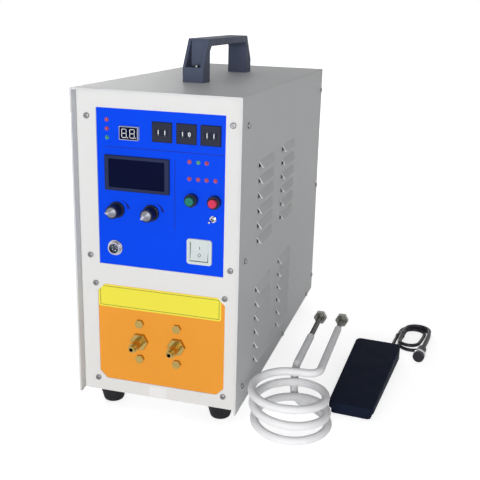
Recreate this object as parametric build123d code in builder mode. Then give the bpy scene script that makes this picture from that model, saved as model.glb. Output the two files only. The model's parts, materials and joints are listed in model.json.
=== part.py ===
from build123d import *
from math import atan2, ceil, cos, pi, radians, sin, sqrt, tan
import os

os.makedirs("parts", exist_ok=True)

# An induction heating machine with its work coil and its foot pedal.
# All sizes are in millimetres.  The set stands on Z = 0, with X to its right
# and Y to its back.  Places on the machine are counted from the middle of its
# width, the front edge of its cover and the lower edge of its cover.

# Case
case_width = 220
case_height = 408
case_depth = 500
cover_sheet = 1.2
hem_depth = 8
panel_recess = 14
rear_recess = 2
panel_sheet = 1.5
tray_sheet = 1.5
sheet_gap = 0.3
flange_depth = 27
tray_flange = 16
cover_corner = 1.5

# Louvres in the sides of the cover
louvre_length = 77
louvre_drop = 8.5
louvre_out = 6.5
louvre_taper = 20
louvre_rows = 6
louvre_pitch = 0.0495 * case_height
louvre_tops = (0.7831 * case_height, 0.3664 * case_height)
louvre_starts = (82.5, 210)

# Screws: pan heads, M4
screw_diameter = 4
screw_head = 7.6
screw_head_height = 2.4
screw_length = 9
screw_slot = 1.2
screw_clearance = 0.2
side_screw_inset = 13
side_screw_heights = (0.913 * case_height, 0.4963 * case_height, 0.0735 * case_height)
bottom_screw_height = 6
bottom_screw_places = (0.524 * case_depth, 0.898 * case_depth)
rear_screw_inset = 9

# Rubber feet
foot_height = 24
foot_top = 39
foot_bottom = 26
foot_round = 4
foot_recess = 10
foot_spacing_x = 0.7091 * case_width
foot_front = 38
foot_rear = case_depth - foot_front

# Carrying handle
handle_centre = 0.507 * case_depth
handle_length = 234
handle_top_length = 188
handle_width = 30
handle_height = 57
handle_opening = 178
handle_bar = 10
handle_corner = 7
handle_round = 1.6
handle_ledge = 20
handle_pocket_width = 21
handle_pocket_wall = 4
handle_pocket_top = 54
handle_screw_inset = 14.5

# Windows in the front panel and the plates behind them
control_window = (0.7659 * case_width, 0.4958 * case_height)
control_window_centre = (1.75, 0.6941 * case_height)
control_plate_sheet = 2
control_plate_margin = 6
control_screw_x = 0.4318 * case_width
control_screw_heights = (0.9142 * case_height, 0.4706 * case_height)
outlet_window = (0.7955 * case_width, 0.3321 * case_height)
outlet_window_centre = (1.5, 0.2115 * case_height)
outlet_window_chamfer = 10
outlet_board_sheet = 6
outlet_screw_x = 0.4023 * case_width
outlet_screw_heights = (0.3775 * case_height, 0.0429 * case_height)
outlet_board_margin = 8

# Small lamps on the control plate
lamp_dome = 3.6
lamp_flange = 5.2
lamp_flange_out = 0.8
lamp_out = 2.6
lamp_length = 9
lamp_column_x = -0.3114 * case_width
lamp_column_heights = (0.9059 * case_height, 0.8784 * case_height, 0.8512 * case_height)
lamp_row_x = (0.1818 * case_width, 0.2336 * case_width, 0.2827 * case_width, 0.3345 * case_width)
lamp_row_heights = (0.7966 * case_height, 0.7451 * case_height)

# Two-figure display
display_size = (25, 17)
display_centre = (-0.1705 * case_width, 0.8701 * case_height)
display_out = 6
display_depth = 8

# Figure wheels: three switches of two wheels each
switch_size = (26, 25)
switch_centres = (0.0209 * case_width, 0.1636 * case_width, 0.3045 * case_width)
switch_height = 0.8792 * case_height
switch_bezel = 2
switch_wall = 1.5
switch_depth = 25
wheel_gap = 0.35
wheel_diameter = 20
wheel_width = 6.6
wheel_spacing = 8.6
wheel_out = 0.4
wheel_axle = 3
wheel_teeth = 10
wheel_notch = 1.2
running_clearance = 0.06

# Panel meter
meter_size = (86.7, 45)
meter_centre = (-0.1318 * case_width, 0.7439 * case_height)
meter_out = 3
meter_body_margin = 3
meter_depth = 18
meter_glass_size = (74.8, 36.5)
meter_glass_sheet = 1.5
meter_glass_recess = 1
meter_wall = 2

# Turning knobs and what they turn
knob_x = (-0.2586 * case_width, -0.0468 * case_width)
knob_height = 0.6275 * case_height
knob_skirt = 21
knob_skirt_height = 3
knob_body = 17
knob_length = 17
knob_flutes = 18
knob_flute_depth = 0.8
knob_cap = 13
knob_cap_height = 1.6
knob_pointer = 9.8
knob_gap = 0.6
knob_rest = (190, 215)
pot_bush = 7
pot_bush_out = 4.5
pot_nut = 10
pot_nut_height = 2
pot_can = 17
pot_can_depth = 9
pot_spindle = 6

# Push buttons
button_x = (0.1986 * case_width, 0.3336 * case_width)
button_height = 0.6814 * case_height
button_ring = 16.5
button_ring_out = 8
button_barrel = 12
button_barrel_depth = 20
button_cap = 10.6
button_cap_out = 13
button_cap_length = 14
button_edge = 0.6

# Small lever switch
toggle_centre = (0.325 * case_width, 0.6275 * case_height)
toggle_bush = 6
toggle_bush_out = 5
toggle_bore = 4.4
toggle_nut = 8
toggle_nut_height = 2
toggle_body = (8, 13)
toggle_body_depth = 10
toggle_turn = 225
toggle_ball = 3.2
toggle_neck = 2
toggle_tip = 3
toggle_lever_out = 10
toggle_tilt = 13

# Mains switch
rocker_frame_size = (33.2, 33.5)
rocker_centre = (0.245 * case_width, 0.5191 * case_height)
rocker_frame_out = 2.5
rocker_frame_corner = 4
rocker_body = (27, 27)
rocker_body_depth = 20
rocker_size = (22.6, 23.5)
rocker_play = 0.9
rocker_swing = 7
rocker_thickness = 7
rocker_out = 2.2
rocker_wall = 1.6
rocker_pin = 3

# Round socket for the pedal's plug
socket_centre = (-0.2718 * case_width, 0.5037 * case_height)
socket_flange = 20
socket_flange_out = 2.4
socket_barrel = 16
socket_barrel_out = 7
socket_bore = 13
socket_pin = 1.5
socket_pin_ring = 7
socket_pin_count = 5
socket_pin_out = 4.5
socket_depth = 14

# Water-cooled outlets for the coil
outlet_middle = -1.6
outlet_spacing = 51.8
outlet_height = 0.1936 * case_height
outlet_nut = 20.5
outlet_nut_height = 6
outlet_thread = 12.5
outlet_thread_end = 24
outlet_nose = 8.5
outlet_reach = 30
outlet_bore = 5
bolt_rise = 25
bolt_head = 10.4
bolt_head_height = 4.6
bolt_diameter = 6
bolt_length = 14
block_size = (22, 70, 12)

# Work coil
coil_sleeve_diameter = 11.2
coil_sleeve_bore = 8.4
coil_pipe = 8
coil_pipe_bore = 6
coil_radius = 48.4
coil_centre = (172.3, 41.6)
coil_lean = 5.3
coil_first = 1 / 10
coil_last = 2.986
coil_steps = 12
coil_probe = 1 / 1000
coil_flat_turns = 0.5
coil_steep_turns = 2
coil_pitch = 22.2
coil_last_pitch = 7.6
coil_lead_x = (165, 200)
coil_riser_gap = 12.5
coil_riser_foot = -2
coil_bend = 16
coil_sleeve_ends = (214, 256)
coil_nut_y = 289
coil_nut = 18
coil_nut_length = 9
coil_nut_collar = 13
coil_nut_collar_length = 5
coil_nut_thread = 12.7
coil_nut_depth = 9
coil_flare = 11
coil_flare_length = 2

# Foot pedal
pedal_near = (246.5, 86.6)
pedal_turn = -4.3
pedal_length = 201
pedal_near_width = 62
pedal_far_width = 71
pedal_near_height = 18
pedal_far_height = 30
pedal_corner = 9
pedal_edge = 3
pedal_wall = 2.2
pedal_skirt = 8
pedal_base_inset = 3.4
pedal_base_sheet = 2.5
pedal_base_wall = 2
pedal_base_height = 10
pedal_pivot_inset = 13
pedal_pivot_height = 15
pedal_pivot = 4
pedal_lug = (4, 10)
pedal_swing = 1.6
pedal_gap = 0.4
pedal_switch_size = (10, 20, 7)
pedal_switch_y = 60
pedal_post = 8
pedal_post_root = 1
pedal_cord_x = 20
pedal_boss = (13, 10)
pedal_boss_height = 14.5
pedal_notch = (12, 16)
relief_diameter = 9.5
relief_end_diameter = 7
relief_stem = 8
relief_length = 20

# Pedal cord, its bundle and its plug
cord_diameter = 5.6
cord_end_height = 9
cord_straights = (14, 16)
bend_share = 0.45
gap_step = 1.5
bundle_centre = (311.5, 372)
bundle_turn = -7
bundle_radius = 27
bundle_run = 50
bundle_step = 4
bundle_layer = 6.1
bundle_exit = 21
plug_diameter = 14
plug_length = 34
plug_ring_length = 14
plug_edge = 1

# Rear panel
fan_size = 120
fan_depth = 25
fan_height = 0.7108 * case_height
fan_opening = 114
fan_hub = 40
fan_blades = 7
fan_blade_sheet = 2
fan_tip_gap = 1.5
fan_hole_spacing = 105
fan_bar_width = 6
fan_bar_depth = 3
fan_axle = 5
fan_axial_gap = 0.6
fan_corner = 4
fan_pitch = 32
fan_blade_chord = 26
grille_rings = 5
grille_pitch = 10.5
grille_slot = 6.5
grille_spoke = 7
tail_x = (-0.3409 * case_width, 0.3409 * case_width)
tail_hex = 17
tail_hex_height = 6
tail_diameter = 10
tail_reach = 26
tail_bore = 5
tail_thread = 12
gland_x = 0
gland_height = 60
gland_thread = 20
gland_hex = 24
gland_hex_height = 8
gland_dome = 20
gland_dome_height = 12
gland_dome_round = 3
gland_bore = 12
gland_nut_height = 5

# Inside
plate_sheet = 2
plate_front = 175
plate_rear = 0.88 * case_depth
plate_height = 0.8578 * case_height
plate_foot = 20
core_size = (112, 66, 100)
core_window = (31, 58)
core_front = 60
winding_sheet = 9
winding_length = 46
leg_width = 14
strap_size = (5, 40)
strap_end = 18
power_y = 290
power_z = 120
cold_plate_size = (14, 200, 110)
module_size = (17, 62, 34)
module_spacing = 68
module_count = 3
board_sheet = 1.6
driver_board = (210, 60)
capacitor_size = (46, 44, 62)
capacitor_spacing = 48
capacitor_count = 4
capacitor_strap = 40
capacitor_y = 300
control_board_size = (0.8182 * case_width, 0.3676 * case_height)
control_board_centre = (0, 0.6618 * case_height)
board_part = (18, 12, 9)
board_part_rows = 3
board_part_spacing = 46
spacer_length = 42
spacer_diameter = 7
spacer_spacing = (0.7727 * case_width, 0.3431 * case_height)
hose_diameter = 10
hose_bore = 7
hose_bend = 22
nipple_length = 12

# The set is centred on its own outline
hemispan = case_width / 2
outlet_face_y = panel_recess + panel_sheet
pedal_angle = radians(pedal_turn)
pedal_right = (
    pedal_near[0] - pedal_length * sin(pedal_angle) + pedal_far_width / 2 * cos(pedal_angle)
)
fan_turns = [360 * blade / fan_blades for blade in range(fan_blades)]
set_left = -hemispan - louvre_out
set_right = pedal_right
set_front = outlet_face_y - outlet_reach
set_back = case_depth - rear_recess + tail_hex_height + tail_reach
machine_x = -(set_left + set_right) / 2
machine_y = -(set_front + set_back) / 2


def at(x, y, z=0):
    """A point given by its place on the machine."""
    return Vector(machine_x + x, machine_y + y, foot_height + z)


def facing(x, y, z, right, out):
    """A plane at a place on the machine, by its rightward and outward directions."""
    return Plane(origin=at(x, y, z), x_dir=right, z_dir=out)


front_edge = facing(0, 0, 0, (1, 0, 0), (0, -1, 0))
front_face = facing(0, panel_recess, 0, (1, 0, 0), (0, -1, 0))
plate_face = facing(0, panel_recess + panel_sheet, 0, (1, 0, 0), (0, -1, 0))
rear_y = case_depth - rear_recess
rear_face = facing(0, rear_y, 0, (-1, 0, 0), (0, 1, 0))
right_face = facing(hemispan, 0, 0, (0, 1, 0), (1, 0, 0))
left_face = facing(-hemispan, 0, 0, (0, -1, 0), (-1, 0, 0))
underside = facing(0, 0, 0, (1, 0, 0), (0, 0, 1))
cover_top = facing(0, 0, case_height, (1, 0, 0), (0, 0, 1))
mid_section = facing(0, 0, 0, (0, 1, 0), (1, 0, 0))
floor_z = -foot_height

inner_half = hemispan - cover_sheet - sheet_gap
inner_top = case_height - cover_sheet - sheet_gap
screw_hole = screw_diameter / 2 + screw_clearance
thread_hole = screw_diameter / 2 + running_clearance


def save(sketch_part, label):
    """Name a finished piece and write it out."""
    sketch_part.label = label
    export_step(sketch_part, f"parts/{label}.step")


def hexagon(across_flats, turn=0):
    """A hexagon of that width between its flats, as a sketch."""
    return RegularPolygon(across_flats / 2, 6, major_radius=False, rotation=turn)


# The places of the screws on each face of the case
side_screw_places = [(panel_recess + side_screw_inset, z) for z in side_screw_heights]
rear_screw_y = case_depth - rear_screw_inset
side_screw_places += [(rear_screw_y, z) for z in side_screw_heights]
side_screw_places += [(y, bottom_screw_height) for y in bottom_screw_places]
control_screws = [
    (side * control_screw_x, z) for side in (-1, 1) for z in control_screw_heights
]
outlet_screws = [
    (side * outlet_screw_x, z) for side in (-1, 1) for z in outlet_screw_heights
]
foot_places = [
    (side * foot_spacing_x / 2, y) for side in (-1, 1) for y in (foot_front, foot_rear)
]
handle_screws = [
    (0, handle_centre + side * (handle_length / 2 - handle_screw_inset)) for side in (-1, 1)
]
fan_screws = [
    (x * fan_hole_spacing / 2, fan_height + z * fan_hole_spacing / 2)
    for x in (-1, 1)
    for z in (-1, 1)
]


def mirrored(places):
    """The same places seen from the other side of the case."""
    return [(-x, z) for x, z in places]


# Wrap cover: top and two sides in one bent sheet, with a folded front hem
louvre_slope = atan2(louvre_drop, louvre_out)
louvre_skin_drop = cover_sheet / cos(louvre_slope)
louvre_skin_out = cover_sheet / sin(louvre_slope)
louvre_lip = louvre_drop + sheet_gap
louvre_end_wall = 2 * cover_sheet

with BuildPart() as louvre_hood:
    with BuildSketch(Plane.XY) as hood_plan:
        with BuildLine():
            Polyline(
                (0, -cover_sheet),
                (0, louvre_out),
                (louvre_length - louvre_taper, louvre_out),
                (louvre_length, 0),
                (louvre_length, -cover_sheet),
                close=True,
            )
        make_face()
    extrude(amount=-louvre_drop)
    with BuildSketch(Plane.YZ) as hood_section:
        with BuildLine():
            Polyline(
                (-cover_sheet, 0),
                (0, 0),
                (louvre_out, -louvre_drop),
                (-cover_sheet, -louvre_drop),
                close=True,
            )
        make_face()
    extrude(amount=louvre_length, mode=Mode.INTERSECT)

with BuildPart() as louvre_void:
    with BuildSketch(Plane.XY) as void_plan:
        with BuildLine():
            Polyline(
                (-cover_sheet, -2 * cover_sheet),
                (-cover_sheet, louvre_out),
                (louvre_length - louvre_taper - louvre_end_wall, louvre_out),
                (louvre_length - louvre_end_wall, 0),
                (louvre_length - louvre_end_wall, -2 * cover_sheet),
                close=True,
            )
        make_face()
    extrude(amount=-louvre_lip)
    with BuildSketch(Plane.YZ.offset(-cover_sheet)) as void_section:
        with BuildLine():
            Polyline(
                (-2 * cover_sheet, -louvre_skin_drop),
                (0, -louvre_skin_drop),
                (louvre_out - louvre_skin_out, -louvre_lip),
                (-2 * cover_sheet, -louvre_lip),
                close=True,
            )
        make_face()
    extrude(amount=louvre_length, mode=Mode.INTERSECT)

louvres = [
    Plane(origin=at(-hemispan, y, top - louvre_pitch * row), x_dir=(0, 1, 0), z_dir=(0, 0, 1))
    for y in louvre_starts
    for top in louvre_tops
    for row in range(louvre_rows)
]

with BuildPart() as wrap_cover:
    with BuildSketch(front_edge) as bent_sheet:
        Rectangle(case_width, case_height, align=(Align.CENTER, Align.MIN))
        fillet(bent_sheet.vertices().group_by(Axis.Z)[-1], cover_corner)
        Rectangle(
            case_width - 2 * cover_sheet,
            case_height - cover_sheet,
            align=(Align.CENTER, Align.MIN),
            mode=Mode.SUBTRACT,
        )
        Rectangle(hemispan, case_height, align=Align.MIN, mode=Mode.SUBTRACT)
    extrude(amount=-case_depth)
    with BuildSketch(front_edge) as hem:
        Rectangle(
            case_width - 2 * cover_sheet, case_height - cover_sheet, align=(Align.CENTER, Align.MIN)
        )
        Rectangle(
            case_width - 4 * cover_sheet,
            case_height - 2 * cover_sheet,
            align=(Align.CENTER, Align.MIN),
            mode=Mode.SUBTRACT,
        )
        Rectangle(hemispan, case_height, align=Align.MIN, mode=Mode.SUBTRACT)
    extrude(amount=-hem_depth)
    with Locations(*louvres):
        add(louvre_hood.part)
        add(louvre_void.part, mode=Mode.SUBTRACT)
    with BuildSketch(left_face):
        with Locations(*mirrored(side_screw_places)):
            Circle(screw_hole)
    extrude(amount=-cover_sheet, mode=Mode.SUBTRACT)
    mirror(about=Plane.YZ.offset(machine_x))
    with BuildSketch(cover_top):
        with Locations(*handle_screws):
            Circle(screw_hole)
    extrude(amount=-cover_sheet, mode=Mode.SUBTRACT)
save(wrap_cover.part, "wrap_cover")

# Base tray
tray_front = panel_recess + panel_sheet + sheet_gap
tray_rear = rear_y - panel_sheet - sheet_gap
flange_front = panel_recess + flange_depth + sheet_gap
flange_rear = rear_y - flange_depth - sheet_gap
with BuildPart() as base_tray:
    with BuildSketch(facing(0, tray_front, 0, (1, 0, 0), (0, 0, 1))):
        Rectangle(2 * inner_half, tray_rear - tray_front, align=(Align.CENTER, Align.MIN))
    extrude(amount=tray_sheet)
    with BuildSketch(facing(0, flange_front, tray_sheet, (1, 0, 0), (0, 0, 1))):
        with Locations((inner_half - tray_sheet / 2, 0), (tray_sheet / 2 - inner_half, 0)):
            Rectangle(tray_sheet, flange_rear - flange_front, align=(Align.CENTER, Align.MIN))
    extrude(amount=tray_flange)
    with BuildSketch(mid_section):
        with Locations(*[(y, bottom_screw_height) for y in bottom_screw_places]):
            Circle(thread_hole)
    extrude(amount=hemispan, both=True, mode=Mode.SUBTRACT)
    with BuildSketch(underside):
        with Locations(*foot_places):
            Circle(screw_hole)
    extrude(amount=tray_sheet, mode=Mode.SUBTRACT)
save(base_tray.part, "base_tray")


def panel_flanges():
    """The bent sides and top edge of a front or rear panel, as a sketch."""
    with Locations((inner_half - panel_sheet / 2, 0), (panel_sheet / 2 - inner_half, 0)):
        Rectangle(panel_sheet, inner_top, align=(Align.CENTER, Align.MIN))
    with Locations((0, inner_top)):
        Rectangle(2 * inner_half, panel_sheet, align=(Align.CENTER, Align.MAX))
    Rectangle(
        2 * inner_half, tray_sheet + sheet_gap, align=(Align.CENTER, Align.MIN), mode=Mode.SUBTRACT
    )


# Front panel
with BuildPart() as front_panel:
    with BuildSketch(front_face):
        Rectangle(2 * inner_half, inner_top, align=(Align.CENTER, Align.MIN))
        with Locations(control_window_centre):
            Rectangle(*control_window, mode=Mode.SUBTRACT)
        with Locations(*control_screws, *outlet_screws):
            Circle(screw_hole, mode=Mode.SUBTRACT)
    extrude(amount=-panel_sheet)
    with BuildSketch(front_face) as outlet_opening:
        with Locations(outlet_window_centre):
            Rectangle(*outlet_window)
        chamfer(outlet_opening.vertices(), outlet_window_chamfer)
    extrude(amount=-panel_sheet, mode=Mode.SUBTRACT)
    with BuildSketch(front_face):
        panel_flanges()
    extrude(amount=-flange_depth)
    with BuildSketch(mid_section):
        with Locations(*[(y, z) for y, z in side_screw_places if y < flange_front]):
            Circle(thread_hole)
    extrude(amount=hemispan, both=True, mode=Mode.SUBTRACT)
save(front_panel.part, "front_panel")

# Rear panel with its punched fan grille
with BuildPart() as rear_panel:
    with BuildSketch(rear_face):
        Rectangle(2 * inner_half, inner_top, align=(Align.CENTER, Align.MIN))
        with Locations((0, fan_height)):
            with GridLocations(fan_hole_spacing, fan_hole_spacing, 2, 2):
                Circle(screw_hole, mode=Mode.SUBTRACT)
        with Locations(*[(-x, outlet_height) for x in tail_x]):
            Circle(tail_thread / 2 + running_clearance, mode=Mode.SUBTRACT)
        with Locations((-gland_x, gland_height)):
            Circle(gland_thread / 2 + running_clearance, mode=Mode.SUBTRACT)
    extrude(amount=-panel_sheet)
    with BuildSketch(rear_face) as grille:
        with Locations((0, fan_height)):
            for ring in range(grille_rings):
                outer = fan_opening / 2 - ring * grille_pitch
                Circle(outer)
                Circle(outer - grille_slot, mode=Mode.SUBTRACT)
            Rectangle(grille_spoke, fan_opening, mode=Mode.SUBTRACT)
            Rectangle(fan_opening, grille_spoke, mode=Mode.SUBTRACT)
    extrude(amount=-panel_sheet, mode=Mode.SUBTRACT)
    with BuildSketch(rear_face):
        panel_flanges()
    extrude(amount=-flange_depth)
    with BuildSketch(mid_section):
        with Locations(*[(y, z) for y, z in side_screw_places if y > flange_rear]):
            Circle(thread_hole)
    extrude(amount=hemispan, both=True, mode=Mode.SUBTRACT)
save(rear_panel.part, "rear_panel")

# Carrying handle: one moulded bridge with a screw pocket in each end
with BuildPart() as carry_handle:
    half_base = handle_length / 2
    half_top = handle_top_length / 2
    half_opening = handle_opening / 2
    arch = handle_height - handle_bar
    with BuildSketch(facing(0, handle_centre, case_height, (0, 1, 0), (1, 0, 0))):
        with BuildLine():
            Polyline(
                (-half_base, 0),
                (-half_base, handle_ledge),
                (-half_top, handle_height),
                (half_top, handle_height),
                (half_base, handle_ledge),
                (half_base, 0),
                (half_opening, 0),
                (half_opening, arch - handle_corner),
                (half_opening - handle_corner, arch),
                (handle_corner - half_opening, arch),
                (-half_opening, arch - handle_corner),
                (-half_opening, 0),
                close=True,
            )
        make_face()
    extrude(amount=handle_width / 2, both=True)
    handle_sides = carry_handle.faces().filter_by(Axis.X).edges()
    fillet(handle_sides.filter_by(lambda edge: edge.center().Z > cover_top.origin.Z), handle_round)
    with BuildSketch(cover_top.offset(handle_ledge)):
        for side in (-1, 1):
            with Locations((0, handle_centre + side * (half_opening + handle_pocket_wall))):
                Rectangle(
                    handle_pocket_width,
                    half_base,
                    align=(Align.CENTER, Align.MIN if side > 0 else Align.MAX),
                )
    extrude(amount=handle_pocket_top - handle_ledge, mode=Mode.SUBTRACT)
    with BuildSketch(cover_top):
        with Locations(*handle_screws):
            Circle(screw_hole)
    extrude(amount=handle_ledge, mode=Mode.SUBTRACT)
save(carry_handle.part, "carry_handle")

# Rubber feet
with BuildPart() as foot:
    with BuildSketch(Plane.XZ):
        with BuildLine():
            Polyline(
                (0, 0),
                (foot_bottom / 2, 0),
                (foot_top / 2, foot_height),
                (0, foot_height),
                close=True,
            )
        make_face()
    revolve(axis=Axis.Z)
    fillet(foot.edges().filter_by(GeomType.CIRCLE).sort_by(Axis.Z)[0], foot_round)
    with BuildSketch(Plane.XY):
        Circle(screw_head / 2 + screw_clearance)
    extrude(amount=foot_recess, mode=Mode.SUBTRACT)
    with BuildSketch(Plane.XY):
        Circle(screw_hole)
    extrude(amount=foot_height, mode=Mode.SUBTRACT)

with BuildPart() as rubber_feet:
    with Locations(*[at(x, y, floor_z) for x, y in foot_places]):
        add(foot.part)
save(rubber_feet.part, "rubber_feet")


def pan_screw(length):
    """A pan head screw that stands head up on the XY plane, with a cross recess."""
    with BuildPart() as screw:
        with BuildSketch(Plane.XY):
            Circle(screw_head / 2)
        extrude(amount=screw_head_height)
        fillet(screw.edges().sort_by(Axis.Z)[-1], screw_head_height / 2)
        with BuildSketch(Plane.XY.offset(screw_head_height)):
            Rectangle(screw_slot, screw_head / 2)
            Rectangle(screw_head / 2, screw_slot)
        extrude(amount=-screw_slot, mode=Mode.SUBTRACT)
        with BuildSketch(Plane.XY):
            Circle(screw_diameter / 2)
        extrude(amount=-length)
    return screw.part


foot_seat = facing(0, 0, floor_z + foot_recess, (1, 0, 0), (0, 0, -1))


def on_plane(plane, places):
    """The frames of some places on a plane, facing out of it."""
    return [plane * Location((x, y, 0)) for x, y in places]


# All the pan head screws of the case
with BuildPart() as case_screws:
    with Locations(
        *on_plane(right_face, side_screw_places),
        *on_plane(left_face, mirrored(side_screw_places)),
        *on_plane(front_face, control_screws + outlet_screws),
        *on_plane(rear_face, fan_screws),
    ):
        add(pan_screw(screw_length))
    with Locations(*on_plane(cover_top.offset(handle_ledge), handle_screws)):
        add(pan_screw(handle_ledge + cover_sheet + screw_diameter))
    with Locations(*on_plane(foot_seat, [(x, -y) for x, y in foot_places])):
        add(pan_screw(foot_height - foot_recess + tray_sheet + screw_diameter))
save(case_screws.part, "case_screws")

# Where each thing sits on the control plate
lamps_red = [(lamp_column_x, z) for z in lamp_column_heights[:2]]
lamps_red += [(x, lamp_row_heights[0]) for x in (lamp_row_x[0], lamp_row_x[2])]
lamps_red += [(x, lamp_row_heights[1]) for x in lamp_row_x]
lamps_green = [(lamp_column_x, lamp_column_heights[2]), (lamp_row_x[1], lamp_row_heights[0])]
switch_places = [(x, switch_height) for x in switch_centres]
knob_places = [(x, knob_height) for x in knob_x]
button_places = [(x, button_height) for x in button_x]
switch_body = (switch_size[0] - 2 * switch_wall, switch_size[1] - 2 * switch_wall)
meter_body = (meter_size[0] - 2 * meter_body_margin, meter_size[1] - 2 * meter_body_margin)
display_body = (display_size[0] - 2 * sheet_gap, display_size[1] - 2 * sheet_gap)


def control_openings():
    """The holes that the lamps, displays, knobs and switches pass through, as a sketch."""
    with Locations(*lamps_red, *lamps_green):
        Circle(lamp_dome / 2 + running_clearance)
    with Locations(display_centre):
        Rectangle(*display_size)
    with Locations(*switch_places):
        Rectangle(switch_body[0] + sheet_gap, switch_body[1] + sheet_gap)
    with Locations(meter_centre):
        Rectangle(meter_body[0] + sheet_gap, meter_body[1] + sheet_gap)
    with Locations(*knob_places):
        Circle(pot_bush / 2 + running_clearance)
    with Locations(*button_places):
        Circle(button_barrel / 2 + running_clearance)
    with Locations(toggle_centre):
        Circle(toggle_bush / 2 + running_clearance)
    with Locations(rocker_centre):
        Rectangle(rocker_body[0] + sheet_gap, rocker_body[1] + sheet_gap)
    with Locations(socket_centre):
        Circle(socket_barrel / 2 + running_clearance)


# Control plate behind the upper window
with BuildPart() as control_plate:
    with BuildSketch(plate_face):
        with Locations((0, control_window_centre[1])):
            Rectangle(
                2 * (control_screw_x + control_plate_margin),
                control_window[1] + 2 * control_plate_margin,
            )
        with Locations(*control_screws):
            Circle(thread_hole, mode=Mode.SUBTRACT)
    extrude(amount=-control_plate_sheet)
    with BuildSketch(plate_face):
        control_openings()
    extrude(amount=-control_plate_sheet, mode=Mode.SUBTRACT)
save(control_plate.part, "control_plate")

# Insulating board behind the lower window
outlet_places = [
    (outlet_middle + side * outlet_spacing / 2, outlet_height) for side in (-1, 1)
]
bolt_places = [(x, z + side * bolt_rise) for x, z in outlet_places for side in (-1, 1)]
board_middle = sum(outlet_screw_heights) / 2
board_height = outlet_screw_heights[0] - outlet_screw_heights[1] + 2 * outlet_board_margin
with BuildPart() as outlet_board:
    with BuildSketch(plate_face):
        with Locations((0, board_middle)):
            Rectangle(2 * (outlet_screw_x + outlet_board_margin), board_height)
        with Locations(*outlet_screws):
            Circle(thread_hole, mode=Mode.SUBTRACT)
        with Locations(*outlet_places):
            Circle(outlet_thread / 2 + running_clearance, mode=Mode.SUBTRACT)
        with Locations(*bolt_places):
            Circle(bolt_diameter / 2 + running_clearance, mode=Mode.SUBTRACT)
    extrude(amount=-outlet_board_sheet)
save(outlet_board.part, "outlet_board")

# Lamps: a dome with a thin flange and a stem through the plate
with BuildPart() as lamp:
    with BuildSketch(Plane.XY):
        Circle(lamp_flange / 2)
    extrude(amount=lamp_flange_out)
    with BuildSketch(Plane.XY.offset(-lamp_length)):
        Circle(lamp_dome / 2)
    extrude(amount=lamp_length + lamp_out)
    fillet(lamp.edges().sort_by(Axis.Z)[-1], lamp_out - lamp_flange_out - sheet_gap)

for label, places in (("red_lamps", lamps_red), ("green_lamps", lamps_green)):
    with BuildPart() as lamps:
        with Locations(*on_plane(plate_face, places)):
            add(lamp.part)
    save(lamps.part, label)

# Two-figure display
with BuildPart() as display_case:
    with BuildSketch(plate_face.offset(display_out)):
        with Locations(display_centre):
            Rectangle(*display_body)
    extrude(amount=-display_out - display_depth)
save(display_case.part, "display_case")

# Figure wheel switches: open cases with a fixed axle across each
wheel_inside = switch_bezel + wheel_out - wheel_diameter / 2
cavity_width = 2 * wheel_spacing
with BuildPart() as switch_case:
    with BuildSketch(Plane.XY):
        Rectangle(*switch_size)
    extrude(amount=switch_bezel)
    chamfer(switch_case.faces().sort_by(Axis.Z)[-1].edges(), switch_wall / 2)
    with BuildSketch(Plane.XY):
        Rectangle(*switch_body)
    extrude(amount=-switch_depth)
    with BuildSketch(Plane.XY):
        Rectangle(cavity_width, switch_body[1] - 2 * switch_wall)
    extrude(amount=-switch_depth, mode=Mode.SUBTRACT)
    for side in (-1, 1):
        with BuildSketch(Plane.YZ.offset(side * wheel_spacing / 2)):
            with Locations((0, wheel_inside)):
                Circle(wheel_diameter / 2 + wheel_gap)
        extrude(amount=wheel_width / 2 + wheel_gap, both=True, mode=Mode.SUBTRACT)
    with BuildSketch(Plane.YZ):
        with Locations((0, wheel_inside)):
            Circle(wheel_axle / 2)
    extrude(amount=switch_body[0] / 2, both=True)

with BuildPart() as wheel_cases:
    with Locations(*on_plane(plate_face, switch_places)):
        add(switch_case.part)
save(wheel_cases.part, "wheel_cases")

with BuildPart() as figure_wheel:
    with BuildSketch(Plane.YZ):
        Circle(wheel_diameter / 2)
        with PolarLocations(wheel_diameter / 2, wheel_teeth, start_angle=180 / wheel_teeth):
            Circle(wheel_notch / 2, mode=Mode.SUBTRACT)
        Circle(wheel_axle / 2 + running_clearance, mode=Mode.SUBTRACT)
    extrude(amount=wheel_width / 2, both=True)

wheel_places = [
    (x + side * wheel_spacing / 2, switch_height) for x in switch_centres for side in (-1, 1)
]
for number, place in enumerate(wheel_places, start=1):
    with BuildPart() as digit_wheel:
        with Locations(*on_plane(plate_face.offset(wheel_inside), [place])):
            add(figure_wheel.part)
    save(digit_wheel.part, f"digit_wheel_{number}")

# Panel meter: a deep frame round a glass
with BuildPart() as meter_frame:
    with BuildSketch(plate_face):
        with Locations(meter_centre):
            RectangleRounded(*meter_size, meter_wall / 2)
    extrude(amount=meter_out)
    chamfer(meter_frame.faces().sort_by(Axis.Y)[0].edges(), meter_wall / 2)
    with BuildSketch(plate_face):
        with Locations(meter_centre):
            Rectangle(*meter_body)
    extrude(amount=-meter_depth)
    with BuildSketch(plate_face.offset(meter_out)):
        with Locations(meter_centre):
            Rectangle(*meter_glass_size)
    extrude(amount=-meter_out - meter_depth + meter_wall, mode=Mode.SUBTRACT)
save(meter_frame.part, "meter_frame")

with BuildPart() as meter_glass:
    with BuildSketch(plate_face.offset(meter_out - meter_glass_recess)):
        with Locations(meter_centre):
            Rectangle(*meter_glass_size)
    extrude(amount=-meter_glass_sheet)
save(meter_glass.part, "meter_glass")

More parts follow.
